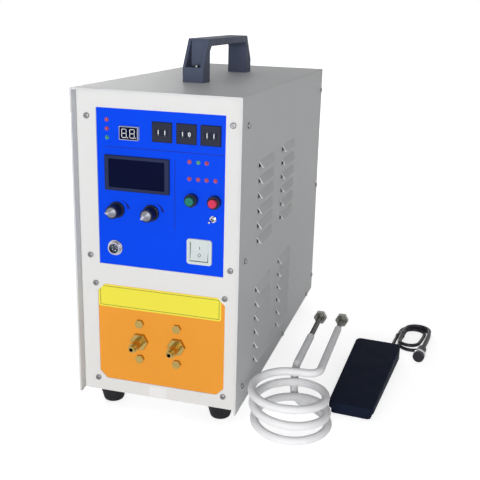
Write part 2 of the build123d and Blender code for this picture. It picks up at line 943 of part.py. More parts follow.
# Potentiometers behind the knobs, with their bushes, nuts and spindles' housings
with BuildPart() as potentiometer:
    with BuildSketch(Plane.XY.offset(-control_plate_sheet)):
        Circle(pot_can / 2)
    extrude(amount=-pot_can_depth)
    with BuildSketch(Plane.XY.offset(-control_plate_sheet)):
        Circle(pot_bush / 2)
    extrude(amount=control_plate_sheet + pot_bush_out)
    with BuildSketch(Plane.XY):
        hexagon(pot_nut)
    extrude(amount=pot_nut_height)
    with BuildSketch(Plane.XY.offset(pot_bush_out)):
        Circle(pot_spindle / 2 + running_clearance)
    extrude(amount=-pot_bush_out - control_plate_sheet, mode=Mode.SUBTRACT)

with BuildPart() as potentiometers:
    with Locations(*on_plane(plate_face, knob_places)):
        add(potentiometer.part)
save(potentiometers.part, "potentiometers")

# Knobs: a fluted black body on a skirt, with a bright pointer cap and its spindle
knob_inside = pot_nut / sqrt(3) + knob_gap
knob_roof = pot_bush_out + knob_gap
with BuildPart() as knob_body_shape:
    with BuildSketch(Plane.XY.offset(knob_gap)):
        Circle(knob_skirt / 2)
    extrude(amount=knob_skirt_height)
    fillet(knob_body_shape.edges().sort_by(Axis.Z)[-1], knob_gap)
    with BuildSketch(Plane.XY.offset(knob_gap)):
        Circle(knob_body / 2)
        with PolarLocations(knob_body / 2, knob_flutes):
            Circle(knob_flute_depth, mode=Mode.SUBTRACT)
    extrude(amount=knob_length - knob_gap)
    with BuildSketch(Plane.XY.offset(knob_gap)):
        Circle(knob_inside)
    extrude(amount=knob_roof - knob_gap, mode=Mode.SUBTRACT)
    with BuildSketch(Plane.XY.offset(knob_roof)):
        Circle(pot_spindle / 2)
    extrude(amount=knob_length, mode=Mode.SUBTRACT)

with BuildPart() as knob_cap_shape:
    with BuildSketch(Plane.XY.offset(knob_length)):
        Circle(knob_cap / 2)
        with BuildLine():
            Polyline(
                (0, knob_cap / 2),
                (knob_pointer, 0),
                (0, -knob_cap / 2),
                close=True,
            )
        make_face()
    extrude(amount=knob_cap_height)
    chamfer(knob_cap_shape.faces().sort_by(Axis.Z)[-1].edges(), knob_cap_height / 3)
    with BuildSketch(Plane.XY.offset(-control_plate_sheet)):
        Circle(pot_spindle / 2)
    extrude(amount=knob_length + control_plate_sheet)

for label, place, turn in (
    ("power_knob", knob_places[0], knob_rest[0]),
    ("timer_knob", knob_places[1], knob_rest[1]),
):
    seat = plate_face * Location((*place, 0), (0, 0, turn))
    with BuildPart() as knob:
        with Locations(seat):
            add(knob_body_shape.part)
    save(knob.part, label)
    with BuildPart() as cap:
        with Locations(seat):
            add(knob_cap_shape.part)
    save(cap.part, f"{label}_cap")

# Push buttons: fixed rings with barrels, and caps that slide in them
with BuildPart() as button_ring_shape:
    with BuildSketch(Plane.XY):
        Circle(button_ring / 2)
    extrude(amount=button_ring_out)
    chamfer(button_ring_shape.edges().sort_by(Axis.Z)[-1], button_edge)
    with BuildSketch(Plane.XY):
        Circle(button_barrel / 2)
    extrude(amount=-button_barrel_depth)
    with BuildSketch(Plane.XY.offset(button_ring_out)):
        Circle(button_cap / 2 + running_clearance)
    extrude(amount=-button_ring_out - button_barrel_depth + button_edge, mode=Mode.SUBTRACT)

with BuildPart() as button_rings:
    with Locations(*on_plane(plate_face, button_places)):
        add(button_ring_shape.part)
save(button_rings.part, "button_rings")

with BuildPart() as button_cap_shape:
    with BuildSketch(Plane.XY.offset(button_cap_out)):
        Circle(button_cap / 2)
    extrude(amount=-button_cap_length)
    fillet(button_cap_shape.edges().sort_by(Axis.Z)[-1], button_edge)

for label, place in zip(("start_button", "stop_button"), button_places):
    with BuildPart() as button:
        with Locations(*on_plane(plate_face, [place])):
            add(button_cap_shape.part)
    save(button.part, label)


# Lever switch: a threaded bush with a nut, and a ball-jointed lever
toggle_pivot = toggle_bush_out - toggle_ball / 2
toggle_hollow = toggle_ball / 2 + running_clearance
toggle_seat = plate_face * Location((*toggle_centre, 0), (0, 0, toggle_turn))
with BuildPart() as toggle_housing:
    with BuildSketch(Plane.XY.offset(-control_plate_sheet)):
        Rectangle(*toggle_body)
    extrude(amount=-toggle_body_depth)
    with BuildSketch(Plane.XY.offset(-control_plate_sheet)):
        Circle(toggle_bush / 2)
    extrude(amount=control_plate_sheet + toggle_bush_out)
    with BuildSketch(Plane.XY):
        hexagon(toggle_nut)
    extrude(amount=toggle_nut_height)
    with BuildSketch(Plane.XZ):
        with BuildLine():
            Polyline(
                (0, toggle_pivot - toggle_ball),
                (toggle_neck / 2, toggle_pivot - toggle_ball),
                (toggle_hollow, toggle_pivot),
                (toggle_bore / 2, toggle_bush_out),
                (0, toggle_bush_out),
                close=True,
            )
        make_face()
    revolve(axis=Axis.Z, mode=Mode.SUBTRACT)
    with Locations((0, 0, toggle_pivot)):
        Sphere(toggle_hollow, mode=Mode.SUBTRACT)

with BuildPart() as toggle_body_part:
    with Locations(toggle_seat):
        add(toggle_housing.part)
save(toggle_body_part.part, "toggle_body")

with BuildPart() as toggle_arm:
    Sphere(toggle_ball / 2)
    with BuildSketch(Plane.XY):
        Circle(toggle_neck / 2)
    with BuildSketch(Plane.XY.offset(toggle_lever_out)):
        Circle(toggle_tip / 2)
    loft()
    fillet(toggle_arm.edges().sort_by(Axis.Z)[-1], toggle_neck / 3)

with BuildPart() as toggle_lever:
    with Locations(toggle_seat * Location((0, 0, toggle_pivot), (0, toggle_tilt, 0))):
        add(toggle_arm.part)
save(toggle_lever.part, "toggle_lever")

# Mains switch: a frame with a hollow body, and a paddle that rocks on a cross pin
rocker_well = (rocker_size[0] + 2 * rocker_play, rocker_size[1] + 2 * rocker_play)
with BuildPart() as rocker_shell:
    with BuildSketch(Plane.XY):
        RectangleRounded(*rocker_frame_size, rocker_frame_corner)
    extrude(amount=rocker_frame_out)
    fillet(rocker_shell.faces().sort_by(Axis.Z)[-1].edges(), rocker_play)
    with BuildSketch(Plane.XY):
        Rectangle(*rocker_body)
    extrude(amount=-rocker_body_depth)
    with BuildSketch(Plane.XY.offset(rocker_frame_out)):
        Rectangle(*rocker_well)
    extrude(amount=-rocker_frame_out - rocker_body_depth + rocker_wall, mode=Mode.SUBTRACT)
    with BuildSketch(Plane.YZ):
        with Locations((0, -rocker_pin)):
            Circle(rocker_pin / 2)
    extrude(amount=rocker_body[0] / 2, both=True)

with BuildPart() as rocker_frame:
    with Locations(plate_face * Location((*rocker_centre, 0))):
        add(rocker_shell.part)
save(rocker_frame.part, "rocker_frame")

with BuildPart() as paddle_shape:
    with BuildSketch(Plane.YZ):
        with BuildLine():
            Polyline(
                (-rocker_size[1] / 2, rocker_out),
                (0, 0),
                (rocker_size[1] / 2, rocker_out),
                (rocker_size[1] / 2 - rocker_wall, rocker_out - rocker_thickness),
                (rocker_pin, -rocker_thickness),
                (-rocker_pin, -rocker_thickness),
                (rocker_wall - rocker_size[1] / 2, rocker_out - rocker_thickness),
                close=True,
            )
        make_face()
        with Locations((0, -rocker_pin)):
            Circle(rocker_pin / 2 + running_clearance, mode=Mode.SUBTRACT)
    extrude(amount=rocker_size[0] / 2, both=True)

with BuildPart() as rocker_paddle:
    rocker_seat = plate_face * Location((*rocker_centre, -rocker_pin), (-rocker_swing, 0, 0))
    with Locations(rocker_seat * Location((0, 0, rocker_pin))):
        add(paddle_shape.part)
save(rocker_paddle.part, "rocker_paddle")

# Round socket: a bright shell and a pin insert
with BuildPart() as socket_shell:
    with BuildSketch(plate_face):
        with Locations(socket_centre):
            Circle(socket_flange / 2)
            hexagon(socket_flange - socket_flange_out)
    extrude(amount=socket_flange_out)
    with BuildSketch(plate_face.offset(socket_barrel_out)):
        with Locations(socket_centre):
            Circle(socket_barrel / 2)
    extrude(amount=-socket_barrel_out - socket_depth)
    with BuildSketch(plate_face.offset(socket_barrel_out)):
        with Locations(socket_centre):
            Circle(socket_bore / 2)
    extrude(amount=-socket_barrel_out - socket_depth, mode=Mode.SUBTRACT)
save(socket_shell.part, "socket_shell")

with BuildPart() as socket_insert:
    with BuildSketch(plate_face):
        with Locations(socket_centre):
            Circle(socket_bore / 2)
    extrude(amount=-socket_depth)
    with BuildSketch(plate_face.offset(socket_pin_out)):
        with Locations(socket_centre):
            with PolarLocations(socket_pin_ring / 2, socket_pin_count):
                Circle(socket_pin / 2)
    extrude(amount=-socket_pin_out - socket_depth - socket_pin_out)
save(socket_insert.part, "socket_insert")

# Outlet fittings: bright brass unions through the board
board_back = -outlet_board_sheet
with BuildPart() as outlet_fitting:
    with BuildSketch(Plane.XY):
        hexagon(outlet_nut)
    extrude(amount=outlet_nut_height)
    fillet(outlet_fitting.faces().sort_by(Axis.Z)[-1].edges(), sheet_gap)
    with BuildSketch(Plane.XY.offset(board_back - block_size[2] / 2)):
        Circle(outlet_thread / 2)
    extrude(amount=outlet_thread_end - board_back + block_size[2] / 2)
    with BuildSketch(Plane.XY.offset(outlet_thread_end)):
        Circle(outlet_nose / 2)
    extrude(amount=outlet_reach - outlet_thread_end)
    chamfer(outlet_fitting.edges().sort_by(Axis.Z)[-1], cover_sheet)
    with BuildSketch(Plane.XY.offset(outlet_reach)):
        Circle(outlet_bore / 2)
    extrude(amount=-outlet_reach + board_back - block_size[2], mode=Mode.SUBTRACT)

with BuildPart() as outlet_fittings:
    with Locations(*on_plane(plate_face, outlet_places)):
        add(outlet_fitting.part)
save(outlet_fittings.part, "outlet_fittings")

with BuildPart() as hex_bolt:
    with BuildSketch(Plane.XY):
        hexagon(bolt_head)
    extrude(amount=bolt_head_height)
    with BuildSketch(Plane.XY):
        Circle(bolt_diameter / 2)
    extrude(amount=-bolt_length)

with BuildPart() as outlet_bolts:
    with Locations(*on_plane(plate_face, bolt_places)):
        add(hex_bolt.part)
save(outlet_bolts.part, "outlet_bolts")

# Copper blocks behind the board, drilled for water, with a nipple for each hose,
# and the copper loop that runs from one to the other through the transformer
window_x = outlet_spacing / 2
block_back = panel_recess + panel_sheet + outlet_board_sheet + block_size[2]
loop_rear = core_front + core_size[1] + strap_end
block_face = plate_face.offset(-outlet_board_sheet)
block_middle = block_face.offset(-block_size[2] / 2)
nipple_start = outlet_spacing / 2 + block_size[0] / 2
with BuildPart() as output_blocks:
    with BuildSketch(block_face):
        with Locations(*outlet_places):
            Rectangle(*block_size[:2])
    extrude(amount=-block_size[2])
    with BuildSketch(block_face):
        with Locations(*outlet_places):
            Circle(outlet_thread / 2)
    extrude(amount=-block_size[2] / 2, mode=Mode.SUBTRACT)
    with BuildSketch(block_face):
        with Locations(*bolt_places):
            Circle(bolt_diameter / 2)
    extrude(amount=-block_size[2], mode=Mode.SUBTRACT)
    for side in (-1, 1):
        nipple_seat = Plane(
            origin=block_middle.origin + Vector(outlet_middle + side * nipple_start, 0, outlet_height),
            x_dir=(0, 1, 0),
            z_dir=(side, 0, 0),
        )
        with BuildSketch(nipple_seat):
            Circle(hose_bore / 2)
        extrude(amount=nipple_length)
        with BuildSketch(nipple_seat.offset(nipple_length)):
            Circle(outlet_bore / 2)
        extrude(amount=-nipple_length - block_size[0] / 2, mode=Mode.SUBTRACT)
    with BuildSketch(facing(outlet_middle, 0, outlet_height, (1, 0, 0), (0, 0, 1))):
        with Locations((-window_x, block_back), (window_x, block_back)):
            Rectangle(strap_size[0], loop_rear - block_back, align=(Align.CENTER, Align.MIN))
        with Locations((0, loop_rear)):
            Rectangle(
                2 * window_x + strap_size[0], strap_size[0], align=(Align.CENTER, Align.MAX)
            )
    extrude(amount=strap_size[1] / 2, both=True)
save(output_blocks.part, "output_blocks")

# Work coil: a sleeved pipe with two leads and three open turns
coil_low = floor_z + coil_sleeve_diameter / 2
coil_height = coil_pitch * coil_steep_turns + coil_last_pitch * coil_flat_turns


def coil_point(turns):
    """A point on the middle line of the coil, by the number of turns climbed."""
    angle = pi / 2 - 2 * pi * turns
    steep = min(max(turns - coil_flat_turns, 0), coil_steep_turns)
    rise = coil_pitch * steep + coil_last_pitch * max(turns - coil_flat_turns - coil_steep_turns, 0)
    lean = coil_lean * (1 / 2 - rise / coil_height)
    return at(
        coil_centre[0] + lean + coil_radius * cos(angle),
        coil_centre[1] + coil_radius * sin(angle),
        coil_low + rise,
    )


def least_gap(line, diameter):
    """The least gap of a wound tube to itself, on points along its middle line."""
    count = ceil(line.length / gap_step)
    points = [line @ (step / count) for step in range(count + 1)]
    apart = ceil(pi * diameter / gap_step)
    spans = [
        (point - other).length
        for place, point in enumerate(points)
        for other in points[place + apart :]
    ]
    return min(spans) - diameter


def coil_direction(turns):
    """The way the coil's middle line heads at that point."""
    return (coil_point(turns + coil_probe) - coil_point(turns - coil_probe)).normalized()


def biarc_joint(start, start_way, end, end_way):
    """Where two tangent arcs between two points meet, and the way they head there."""
    gap = end - start
    ways = start_way + end_way
    spare = 2 * (1 - start_way.dot(end_way))
    along = gap.dot(ways)
    reach = gap.dot(gap) / (along + sqrt(along * along + spare * gap.dot(gap)))
    joint = (start + end + (start_way - end_way) * reach) / 2
    way = ((end - end_way * reach) - (start + start_way * reach)).normalized()
    return joint, way


def tangent_arcs(start, start_way, end, end_way):
    """Draw two tangent arcs from one heading to another."""
    joint, way = biarc_joint(start, start_way, end, end_way)
    TangentArc(start, joint, tangent=start_way)
    TangentArc(joint, end, tangent=way)


coil_finish = coil_point(coil_last)
coil_finish_way = Vector(coil_direction(coil_last).X, coil_direction(coil_last).Y, 0).normalized()
coil_riser_y = coil_centre[1] + coil_radius + coil_riser_gap
coil_lead_z = coil_finish.Z - foot_height
coil_riser_end = at(coil_lead_x[0], coil_riser_y, coil_riser_foot)
coil_corner_reach = (at(coil_lead_x[1], 0).X - coil_finish.X) / coil_finish_way.X
coil_stations = [
    coil_first + (coil_last - coil_first) * step / coil_steps for step in range(coil_steps + 1)
]


def coil_route(left_end, right_end):
    """Draw the whole middle line of the work coil between two places on its leads."""
    FilletPolyline(
        at(coil_lead_x[0], left_end, coil_lead_z),
        at(coil_lead_x[0], coil_riser_y, coil_lead_z),
        coil_riser_end,
        radius=coil_bend,
    )
    ways = [coil_direction(turns) for turns in coil_stations]
    ways[-1] = coil_finish_way
    points = [coil_point(turns) for turns in coil_stations]
    tangent_arcs(coil_riser_end, Vector(0, 0, -1), points[0], ways[0])
    for index in range(coil_steps):
        tangent_arcs(points[index], ways[index], points[index + 1], ways[index + 1])
    FilletPolyline(
        coil_finish,
        coil_finish + coil_finish_way * coil_corner_reach,
        at(coil_lead_x[1], right_end, coil_lead_z),
        radius=coil_bend,
    )


pipe_end = coil_nut_y + coil_flare_length
with BuildPart() as coil_pipe_part:
    with BuildLine() as pipe_line:
        coil_route(pipe_end, pipe_end)
    with BuildSketch(facing(coil_lead_x[0], pipe_end, coil_lead_z, (1, 0, 0), (0, -1, 0))):
        Circle(coil_pipe / 2)
        Circle(coil_pipe_bore / 2, mode=Mode.SUBTRACT)
    sweep(path=pipe_line.line)
    for x in coil_lead_x:
        with BuildSketch(facing(x, pipe_end, coil_lead_z, (1, 0, 0), (0, -1, 0))):
            Circle(coil_flare / 2)
            Circle(coil_pipe_bore / 2, mode=Mode.SUBTRACT)
        extrude(amount=coil_flare_length)
save(coil_pipe_part.part, "coil_pipe")

with BuildPart() as coil_sleeve:
    with BuildLine() as sleeve_line:
        coil_route(*coil_sleeve_ends)
    with BuildSketch(
        facing(coil_lead_x[0], coil_sleeve_ends[0], coil_lead_z, (1, 0, 0), (0, -1, 0))
    ):
        Circle(coil_sleeve_diameter / 2)
        Circle(coil_sleeve_bore / 2, mode=Mode.SUBTRACT)
    sweep(path=sleeve_line.line)
save(coil_sleeve.part, "coil_sleeve")
print("coil gap", round(least_gap(sleeve_line.wire(), coil_sleeve_diameter), 2))

# Union nuts that spin on the leads, held by the flares
with BuildPart() as union_nut:
    with BuildSketch(Plane.XY):
        hexagon(coil_nut)
    extrude(amount=coil_nut_length)
    with BuildSketch(Plane.XY):
        Circle(coil_nut_collar / 2)
    extrude(amount=-coil_nut_collar_length)
    with BuildSketch(Plane.XY):
        Circle(coil_nut_thread / 2)
    extrude(amount=coil_nut_depth, mode=Mode.SUBTRACT)
    with BuildSketch(Plane.XY.offset(-coil_nut_collar_length)):
        Circle(coil_pipe / 2 + running_clearance)
    extrude(amount=coil_nut_length, mode=Mode.SUBTRACT)

for label, x in zip(("coil_nut_left", "coil_nut_right"), coil_lead_x):
    with BuildPart() as nut:
        with Locations(facing(x, coil_nut_y - sheet_gap, coil_lead_z, (-1, 0, 0), (0, 1, 0))):
            add(union_nut.part)
    save(nut.part, label)

# Foot pedal, drawn with its near edge on the X axis and its length along Y
pedal_seat = facing(
    *pedal_near, floor_z, (cos(pedal_angle), sin(pedal_angle), 0), (0, 0, 1)
)
pedal_pivot_y = pedal_length - pedal_pivot_inset
pedal_rise = (pedal_far_height - pedal_near_height) / pedal_length
pedal_flare = (pedal_far_width - pedal_near_width) / 2 / pedal_length


def pedal_outline(inset):
    """The outline of the pedal seen from above, drawn in by some distance, as a sketch."""
    near = pedal_near_width / 2 - inset
    far = pedal_far_width / 2 - inset
    with BuildSketch() as outline:
        with BuildLine():
            Polyline(
                (-near, inset),
                (near, inset),
                (far, pedal_length - inset),
                (-far, pedal_length - inset),
                close=True,
            )
        make_face()
        fillet(outline.vertices(), pedal_corner - inset)
    return outline.sketch


pedal_travel = (pedal_pivot_y - pedal_switch_y) * sin(radians(pedal_swing))
pedal_post_bottom = pedal_base_sheet + pedal_switch_size[2] + pedal_travel + pedal_gap
pedal_underside = pedal_near_height + pedal_rise * pedal_switch_y - pedal_wall
pedal_post_top = pedal_underside + pedal_post_root
pedal_stub_outer = pedal_near_width / 2 + pedal_flare * pedal_pivot_y - pedal_wall / 2
pedal_stub_inner = pedal_stub_outer + pedal_wall / 2 - pedal_base_inset - pedal_lug[0] - pedal_gap
with BuildPart() as treadle_shape:
    with BuildSketch(Plane.XY.offset(pedal_skirt)):
        add(pedal_outline(0))
    extrude(amount=pedal_far_height)
    with BuildSketch(Plane.YZ):
        with BuildLine():
            Polyline(
                (0, pedal_skirt),
                (0, pedal_near_height),
                (pedal_length, pedal_far_height),
                (pedal_length, pedal_skirt),
                close=True,
            )
        make_face()
    extrude(amount=pedal_far_width, both=True, mode=Mode.INTERSECT)
    fillet(treadle_shape.faces().sort_by(Axis.Z)[-1].edges(), pedal_edge)
    offset(amount=-pedal_wall, openings=treadle_shape.faces().sort_by(Axis.Z)[0])
    with BuildSketch(Plane.XY.offset(pedal_post_bottom)):
        with Locations((0, pedal_switch_y)):
            Rectangle(pedal_post, pedal_post)
    extrude(amount=pedal_post_top - pedal_post_bottom)
    for side in (-1, 1):
        with BuildSketch(Plane.YZ.offset(side * pedal_stub_outer)):
            with Locations((pedal_pivot_y, pedal_pivot_height)):
                Circle(pedal_pivot / 2)
        extrude(amount=side * (pedal_stub_inner - pedal_stub_outer))
    with BuildSketch(Plane.XY.offset(pedal_skirt)):
        with Locations((pedal_cord_x, pedal_length)):
            Rectangle(pedal_notch[0], 2 * pedal_corner)
    extrude(amount=pedal_notch[1] - pedal_skirt, mode=Mode.SUBTRACT)

with BuildPart() as pedal_treadle:
    with Locations(pedal_seat):
        add(treadle_shape.part)
save(pedal_treadle.part, "pedal_treadle")

pedal_lug_x = pedal_stub_inner + pedal_gap + pedal_lug[0] / 2
pedal_boss_y = pedal_length - pedal_base_inset - pedal_boss[1] / 2
with BuildPart() as base_shape:
    with BuildSketch(Plane.XY):
        add(pedal_outline(pedal_base_inset))
    extrude(amount=pedal_base_height)
    with BuildSketch(Plane.XY.offset(pedal_base_sheet)):
        add(pedal_outline(pedal_base_inset + pedal_base_wall))
    extrude(amount=pedal_base_height, mode=Mode.SUBTRACT)
    with BuildSketch(Plane.XY):
        with Locations((pedal_lug_x, pedal_pivot_y), (-pedal_lug_x, pedal_pivot_y)):
            Rectangle(*pedal_lug)
    extrude(amount=pedal_pivot_height + pedal_pivot)
    with BuildSketch(Plane.YZ):
        with Locations((pedal_pivot_y, pedal_pivot_height)):
            Circle(pedal_pivot / 2 + running_clearance)
    extrude(amount=pedal_far_width, both=True, mode=Mode.SUBTRACT)
    with BuildSketch(Plane.XY):
        with Locations((pedal_cord_x, pedal_boss_y)):
            Rectangle(*pedal_boss)
    extrude(amount=pedal_boss_height)
    with BuildSketch(Plane.XZ.offset(-pedal_length)):
        with Locations((pedal_cord_x, cord_end_height)):
            Circle(relief_stem / 2)
    extrude(amount=pedal_boss[1] + 2 * pedal_base_inset, mode=Mode.SUBTRACT)

with BuildPart() as pedal_base:
    with Locations(pedal_seat):
        add(base_shape.part)
save(pedal_base.part, "pedal_base")

with BuildPart() as pedal_switch:
    with BuildSketch(pedal_seat.offset(pedal_base_sheet)):
        with Locations((0, pedal_switch_y)):
            Rectangle(*pedal_switch_size[:2])
    extrude(amount=pedal_switch_size[2])
save(pedal_switch.part, "pedal_switch")

# Strain relief where the cord leaves the pedal
relief_seat = Plane(
    origin=pedal_seat.from_local_coords(
        (pedal_cord_x, pedal_length - pedal_base_inset, cord_end_height)
    ),
    x_dir=pedal_seat.x_dir,
    z_dir=pedal_seat.y_dir,
)
with BuildPart() as pedal_relief:
    with BuildSketch(relief_seat):
        Circle(relief_diameter / 2)
    with BuildSketch(relief_seat.offset(relief_length)):
        Circle(relief_end_diameter / 2)
    loft()
    with BuildSketch(relief_seat):
        Circle(relief_stem / 2)
    extrude(amount=-pedal_boss[1])
    with BuildSketch(relief_seat.offset(relief_length)):
        Circle(cord_diameter / 2)
    extrude(amount=-relief_length - pedal_boss[1], mode=Mode.SUBTRACT)
save(pedal_relief.part, "pedal_relief")

# Pedal cord down to its bundle
bundle_angle = radians(bundle_turn)
bundle_seat = facing(
    *bundle_centre,
    floor_z + cord_diameter / 2,
    (cos(bundle_angle), sin(bundle_angle), 0),
    (0, 0, 1),
)
bundle_start = bundle_seat.from_local_coords((-bundle_radius, -bundle_run / 2, 0))
relief_mouth = relief_seat.from_local_coords((0, 0, relief_length))
cord_points = [
    relief_seat.from_local_coords((0, 0, -pedal_boss[1])),
    relief_mouth + relief_seat.z_dir * cord_straights[0],
    bundle_start - bundle_seat.y_dir * cord_straights[1],
    bundle_start,
]


def bend_radii(points):
    """The radius of the bend at each corner of a route."""
    radii = []
    for before, corner, after in zip(points, points[1:], points[2:]):
        run_in = corner - before
        run_out = after - corner
        half_turn = radians(run_in.get_angle(run_out)) / 2
        radii.append(bend_share * min(run_in.length, run_out.length) / tan(half_turn))
    return radii


cord_bends = bend_radii(cord_points)
print("pedal cord bends", [round(radius, 1) for radius in cord_bends])
with BuildPart() as pedal_cord:
    with BuildLine() as cord_line:
        FilletPolyline(*cord_points, radius=cord_bends)
    with BuildSketch(Plane(origin=cord_points[0], x_dir=pedal_seat.x_dir, z_dir=pedal_seat.y_dir)):
        Circle(cord_diameter / 2)
    sweep(path=cord_line.line)
save(pedal_cord.part, "pedal_cord")
cord_length = sum(edge.length for edge in cord_line.edges())
cord_volume = pi * cord_diameter**2 / 4 * cord_length
print("pedal cord volume", round(pedal_cord.part.volume), "expected", round(cord_volume))

# The rest of the cord, gathered in two flat layers
bundle_halves = [
    (-bundle_radius, bundle_radius - bundle_step),
    (2 * bundle_step - bundle_radius, bundle_radius - 3 * bundle_step),
    (2 * bundle_step - bundle_radius, bundle_radius - bundle_step),
]


def bundle_point(x, y, layer):
    """A place on the middle line of the bundle, in its first or its second layer."""
    return bundle_seat.from_local_coords((x, y, layer * bundle_layer))


end_y = bundle_run / 2
plug_start = bundle_point(bundle_halves[2][1], -end_y - bundle_exit, 1)
along = bundle_seat.y_dir
with BuildPart() as pedal_cord_coil:
    with BuildLine() as bundle_line:
        Line(bundle_start, bundle_point(bundle_halves[0][0], end_y, 0))
        for lap, (left, right) in enumerate(bundle_halves):
            layer = 1 if lap == 2 else 0
            next_layer = 1 if lap else 0
            TangentArc(
                bundle_point(left, end_y, layer), bundle_point(right, end_y, layer), tangent=along
            )
            if lap == 2:
                Line(bundle_point(right, end_y, layer), plug_start)
            elif lap == 1:
                tangent_arcs(
                    bundle_point(right, end_y, 0), -along, bundle_point(right, -end_y, 1), -along
                )
            else:
                Line(bundle_point(right, end_y, 0), bundle_point(right, -end_y, 0))
            if lap < 2:
                next_left = bundle_halves[lap + 1][0]
                TangentArc(
                    bundle_point(right, -end_y, next_layer),
                    bundle_point(next_left, -end_y, next_layer),
                    tangent=-along,
                )
                Line(
                    bundle_point(next_left, -end_y, next_layer),
                    bundle_point(next_left, end_y, next_layer),
                )
    with BuildSketch(Plane(origin=bundle_start, x_dir=bundle_seat.x_dir, z_dir=along)):
        Circle(cord_diameter / 2)
    sweep(path=bundle_line.line)
save(pedal_cord_coil.part, "pedal_cord_coil")
bundle_length = sum(edge.length for edge in bundle_line.edges())
bundle_volume = pi * cord_diameter**2 / 4 * bundle_length
print("bundle volume", round(pedal_cord_coil.part.volume), "expected", round(bundle_volume))
print("bundle gap", round(least_gap(bundle_line.wire(), cord_diameter), 2))
print("cord length", round(cord_length + bundle_length))

# Plug at the cord's end
plug_seat = Plane(origin=plug_start, x_dir=bundle_seat.x_dir, z_dir=-along)
plug_ring = cord_diameter + 2 * bundle_layer
with BuildPart() as pedal_plug:
    with BuildSketch(plug_seat):
        Circle(plug_diameter / 2)
    extrude(amount=plug_length)
    chamfer(pedal_plug.edges().group_by(Axis.Y)[-1], plug_edge)
    with BuildSketch(plug_seat.offset(plug_length - plug_ring_length)):
        Circle(plug_ring / 2)
    extrude(amount=plug_ring_length)
    fillet(pedal_plug.faces().sort_by(Axis.Y)[0].edges(), plug_edge)
save(pedal_plug.part, "pedal_plug")

# Water tails at the back, with their lock nuts and the tails for the inner hoses
with BuildPart() as tail_shape:
    with BuildSketch(Plane.XY):
        hexagon(tail_hex)
    extrude(amount=tail_hex_height)
    with BuildSketch(Plane.XY):
        Circle(tail_diameter / 2)
    extrude(amount=tail_hex_height + tail_reach)
    chamfer(tail_shape.edges().sort_by(Axis.Z)[-1], cover_sheet)
    with BuildSketch(Plane.XY):
        Circle(tail_thread / 2)
    extrude(amount=-panel_sheet - gland_nut_height)
    with BuildSketch(Plane.XY):
        Circle(hose_bore / 2)
    extrude(amount=-panel_sheet - gland_nut_height - nipple_length)
    with BuildSketch(Plane.XY.offset(tail_hex_height + tail_reach)):
        Circle(tail_bore / 2)
    extrude(
        amount=-tail_hex_height - tail_reach - panel_sheet - gland_nut_height - nipple_length,
        mode=Mode.SUBTRACT,
    )

with BuildPart() as tail_nut:
    with BuildSketch(Plane.XY.offset(-panel_sheet)):
        hexagon(tail_hex)
        Circle(tail_thread / 2 + running_clearance, mode=Mode.SUBTRACT)
    extrude(amount=-gland_nut_height)

with BuildPart() as water_tails:
    with Locations(*on_plane(rear_face, [(-x, outlet_height) for x in tail_x])):
        add(tail_shape.part)
        add(tail_nut.part)
save(water_tails.part, "water_tails")

# Cable gland for the mains lead
with BuildPart() as cable_gland:
    gland_seat = Plane(rear_face * Location((-gland_x, gland_height, 0)))
    with BuildSketch(gland_seat):
        hexagon(gland_hex)
    extrude(amount=gland_hex_height)
    with BuildSketch(gland_seat):
        Circle(gland_dome / 2)
    extrude(amount=gland_hex_height + gland_dome_height)
    fillet(cable_gland.edges().sort_by(Axis.Y)[-1], gland_dome_round)
    with BuildSketch(gland_seat):
        Circle(gland_thread / 2)
    extrude(amount=-panel_sheet - gland_nut_height)
    with BuildSketch(gland_seat.offset(gland_hex_height + gland_dome_height)):
        Circle(gland_bore / 2)
    extrude(
        amount=-gland_hex_height - gland_dome_height - panel_sheet - gland_nut_height,
        mode=Mode.SUBTRACT,
    )
    with BuildSketch(gland_seat.offset(-panel_sheet)):
        hexagon(gland_hex)
        Circle(gland_thread / 2 + running_clearance, mode=Mode.SUBTRACT)
    extrude(amount=-gland_nut_height)
save(cable_gland.part, "cable_gland")

# Cooling fan: a square frame with its motor on bars, and a rotor on the axle
fan_seat = Plane(rear_face * Location((0, fan_height, -panel_sheet)))
fan_inner = fan_depth - fan_bar_depth
with BuildPart() as fan_frame:
    with BuildSketch(fan_seat):
        RectangleRounded(fan_size, fan_size, fan_corner)
        Circle(fan_opening / 2, mode=Mode.SUBTRACT)
        with GridLocations(fan_hole_spacing, fan_hole_spacing, 2, 2):
            Circle(thread_hole, mode=Mode.SUBTRACT)
    extrude(amount=-fan_depth)
    with BuildSketch(fan_seat.offset(-fan_inner)):
        Circle(fan_hub / 2)
        Rectangle(fan_opening + fan_bar_width, fan_bar_width)
        Rectangle(fan_bar_width, fan_opening + fan_bar_width)
    extrude(amount=-fan_bar_depth)
    with BuildSketch(fan_seat.offset(-fan_inner)):
        Circle(fan_axle / 2)
    extrude(amount=fan_inner - fan_bar_depth)
save(fan_frame.part, "fan_frame")

fan_rotor_depth = fan_inner - fan_bar_depth - fan_axial_gap
rotor_middle = fan_rotor_depth / 2
with BuildPart() as fan_blade:
    with BuildSketch(Plane.YZ.offset(fan_hub / 2 - fan_blade_sheet)):
        with Locations((0, rotor_middle)):
            Rectangle(fan_blade_chord, fan_blade_sheet, rotation=fan_pitch)
    extrude(amount=fan_opening)
    with BuildSketch(Plane.XY):
        Circle(fan_opening / 2 - fan_tip_gap)
    extrude(amount=fan_rotor_depth, mode=Mode.INTERSECT)

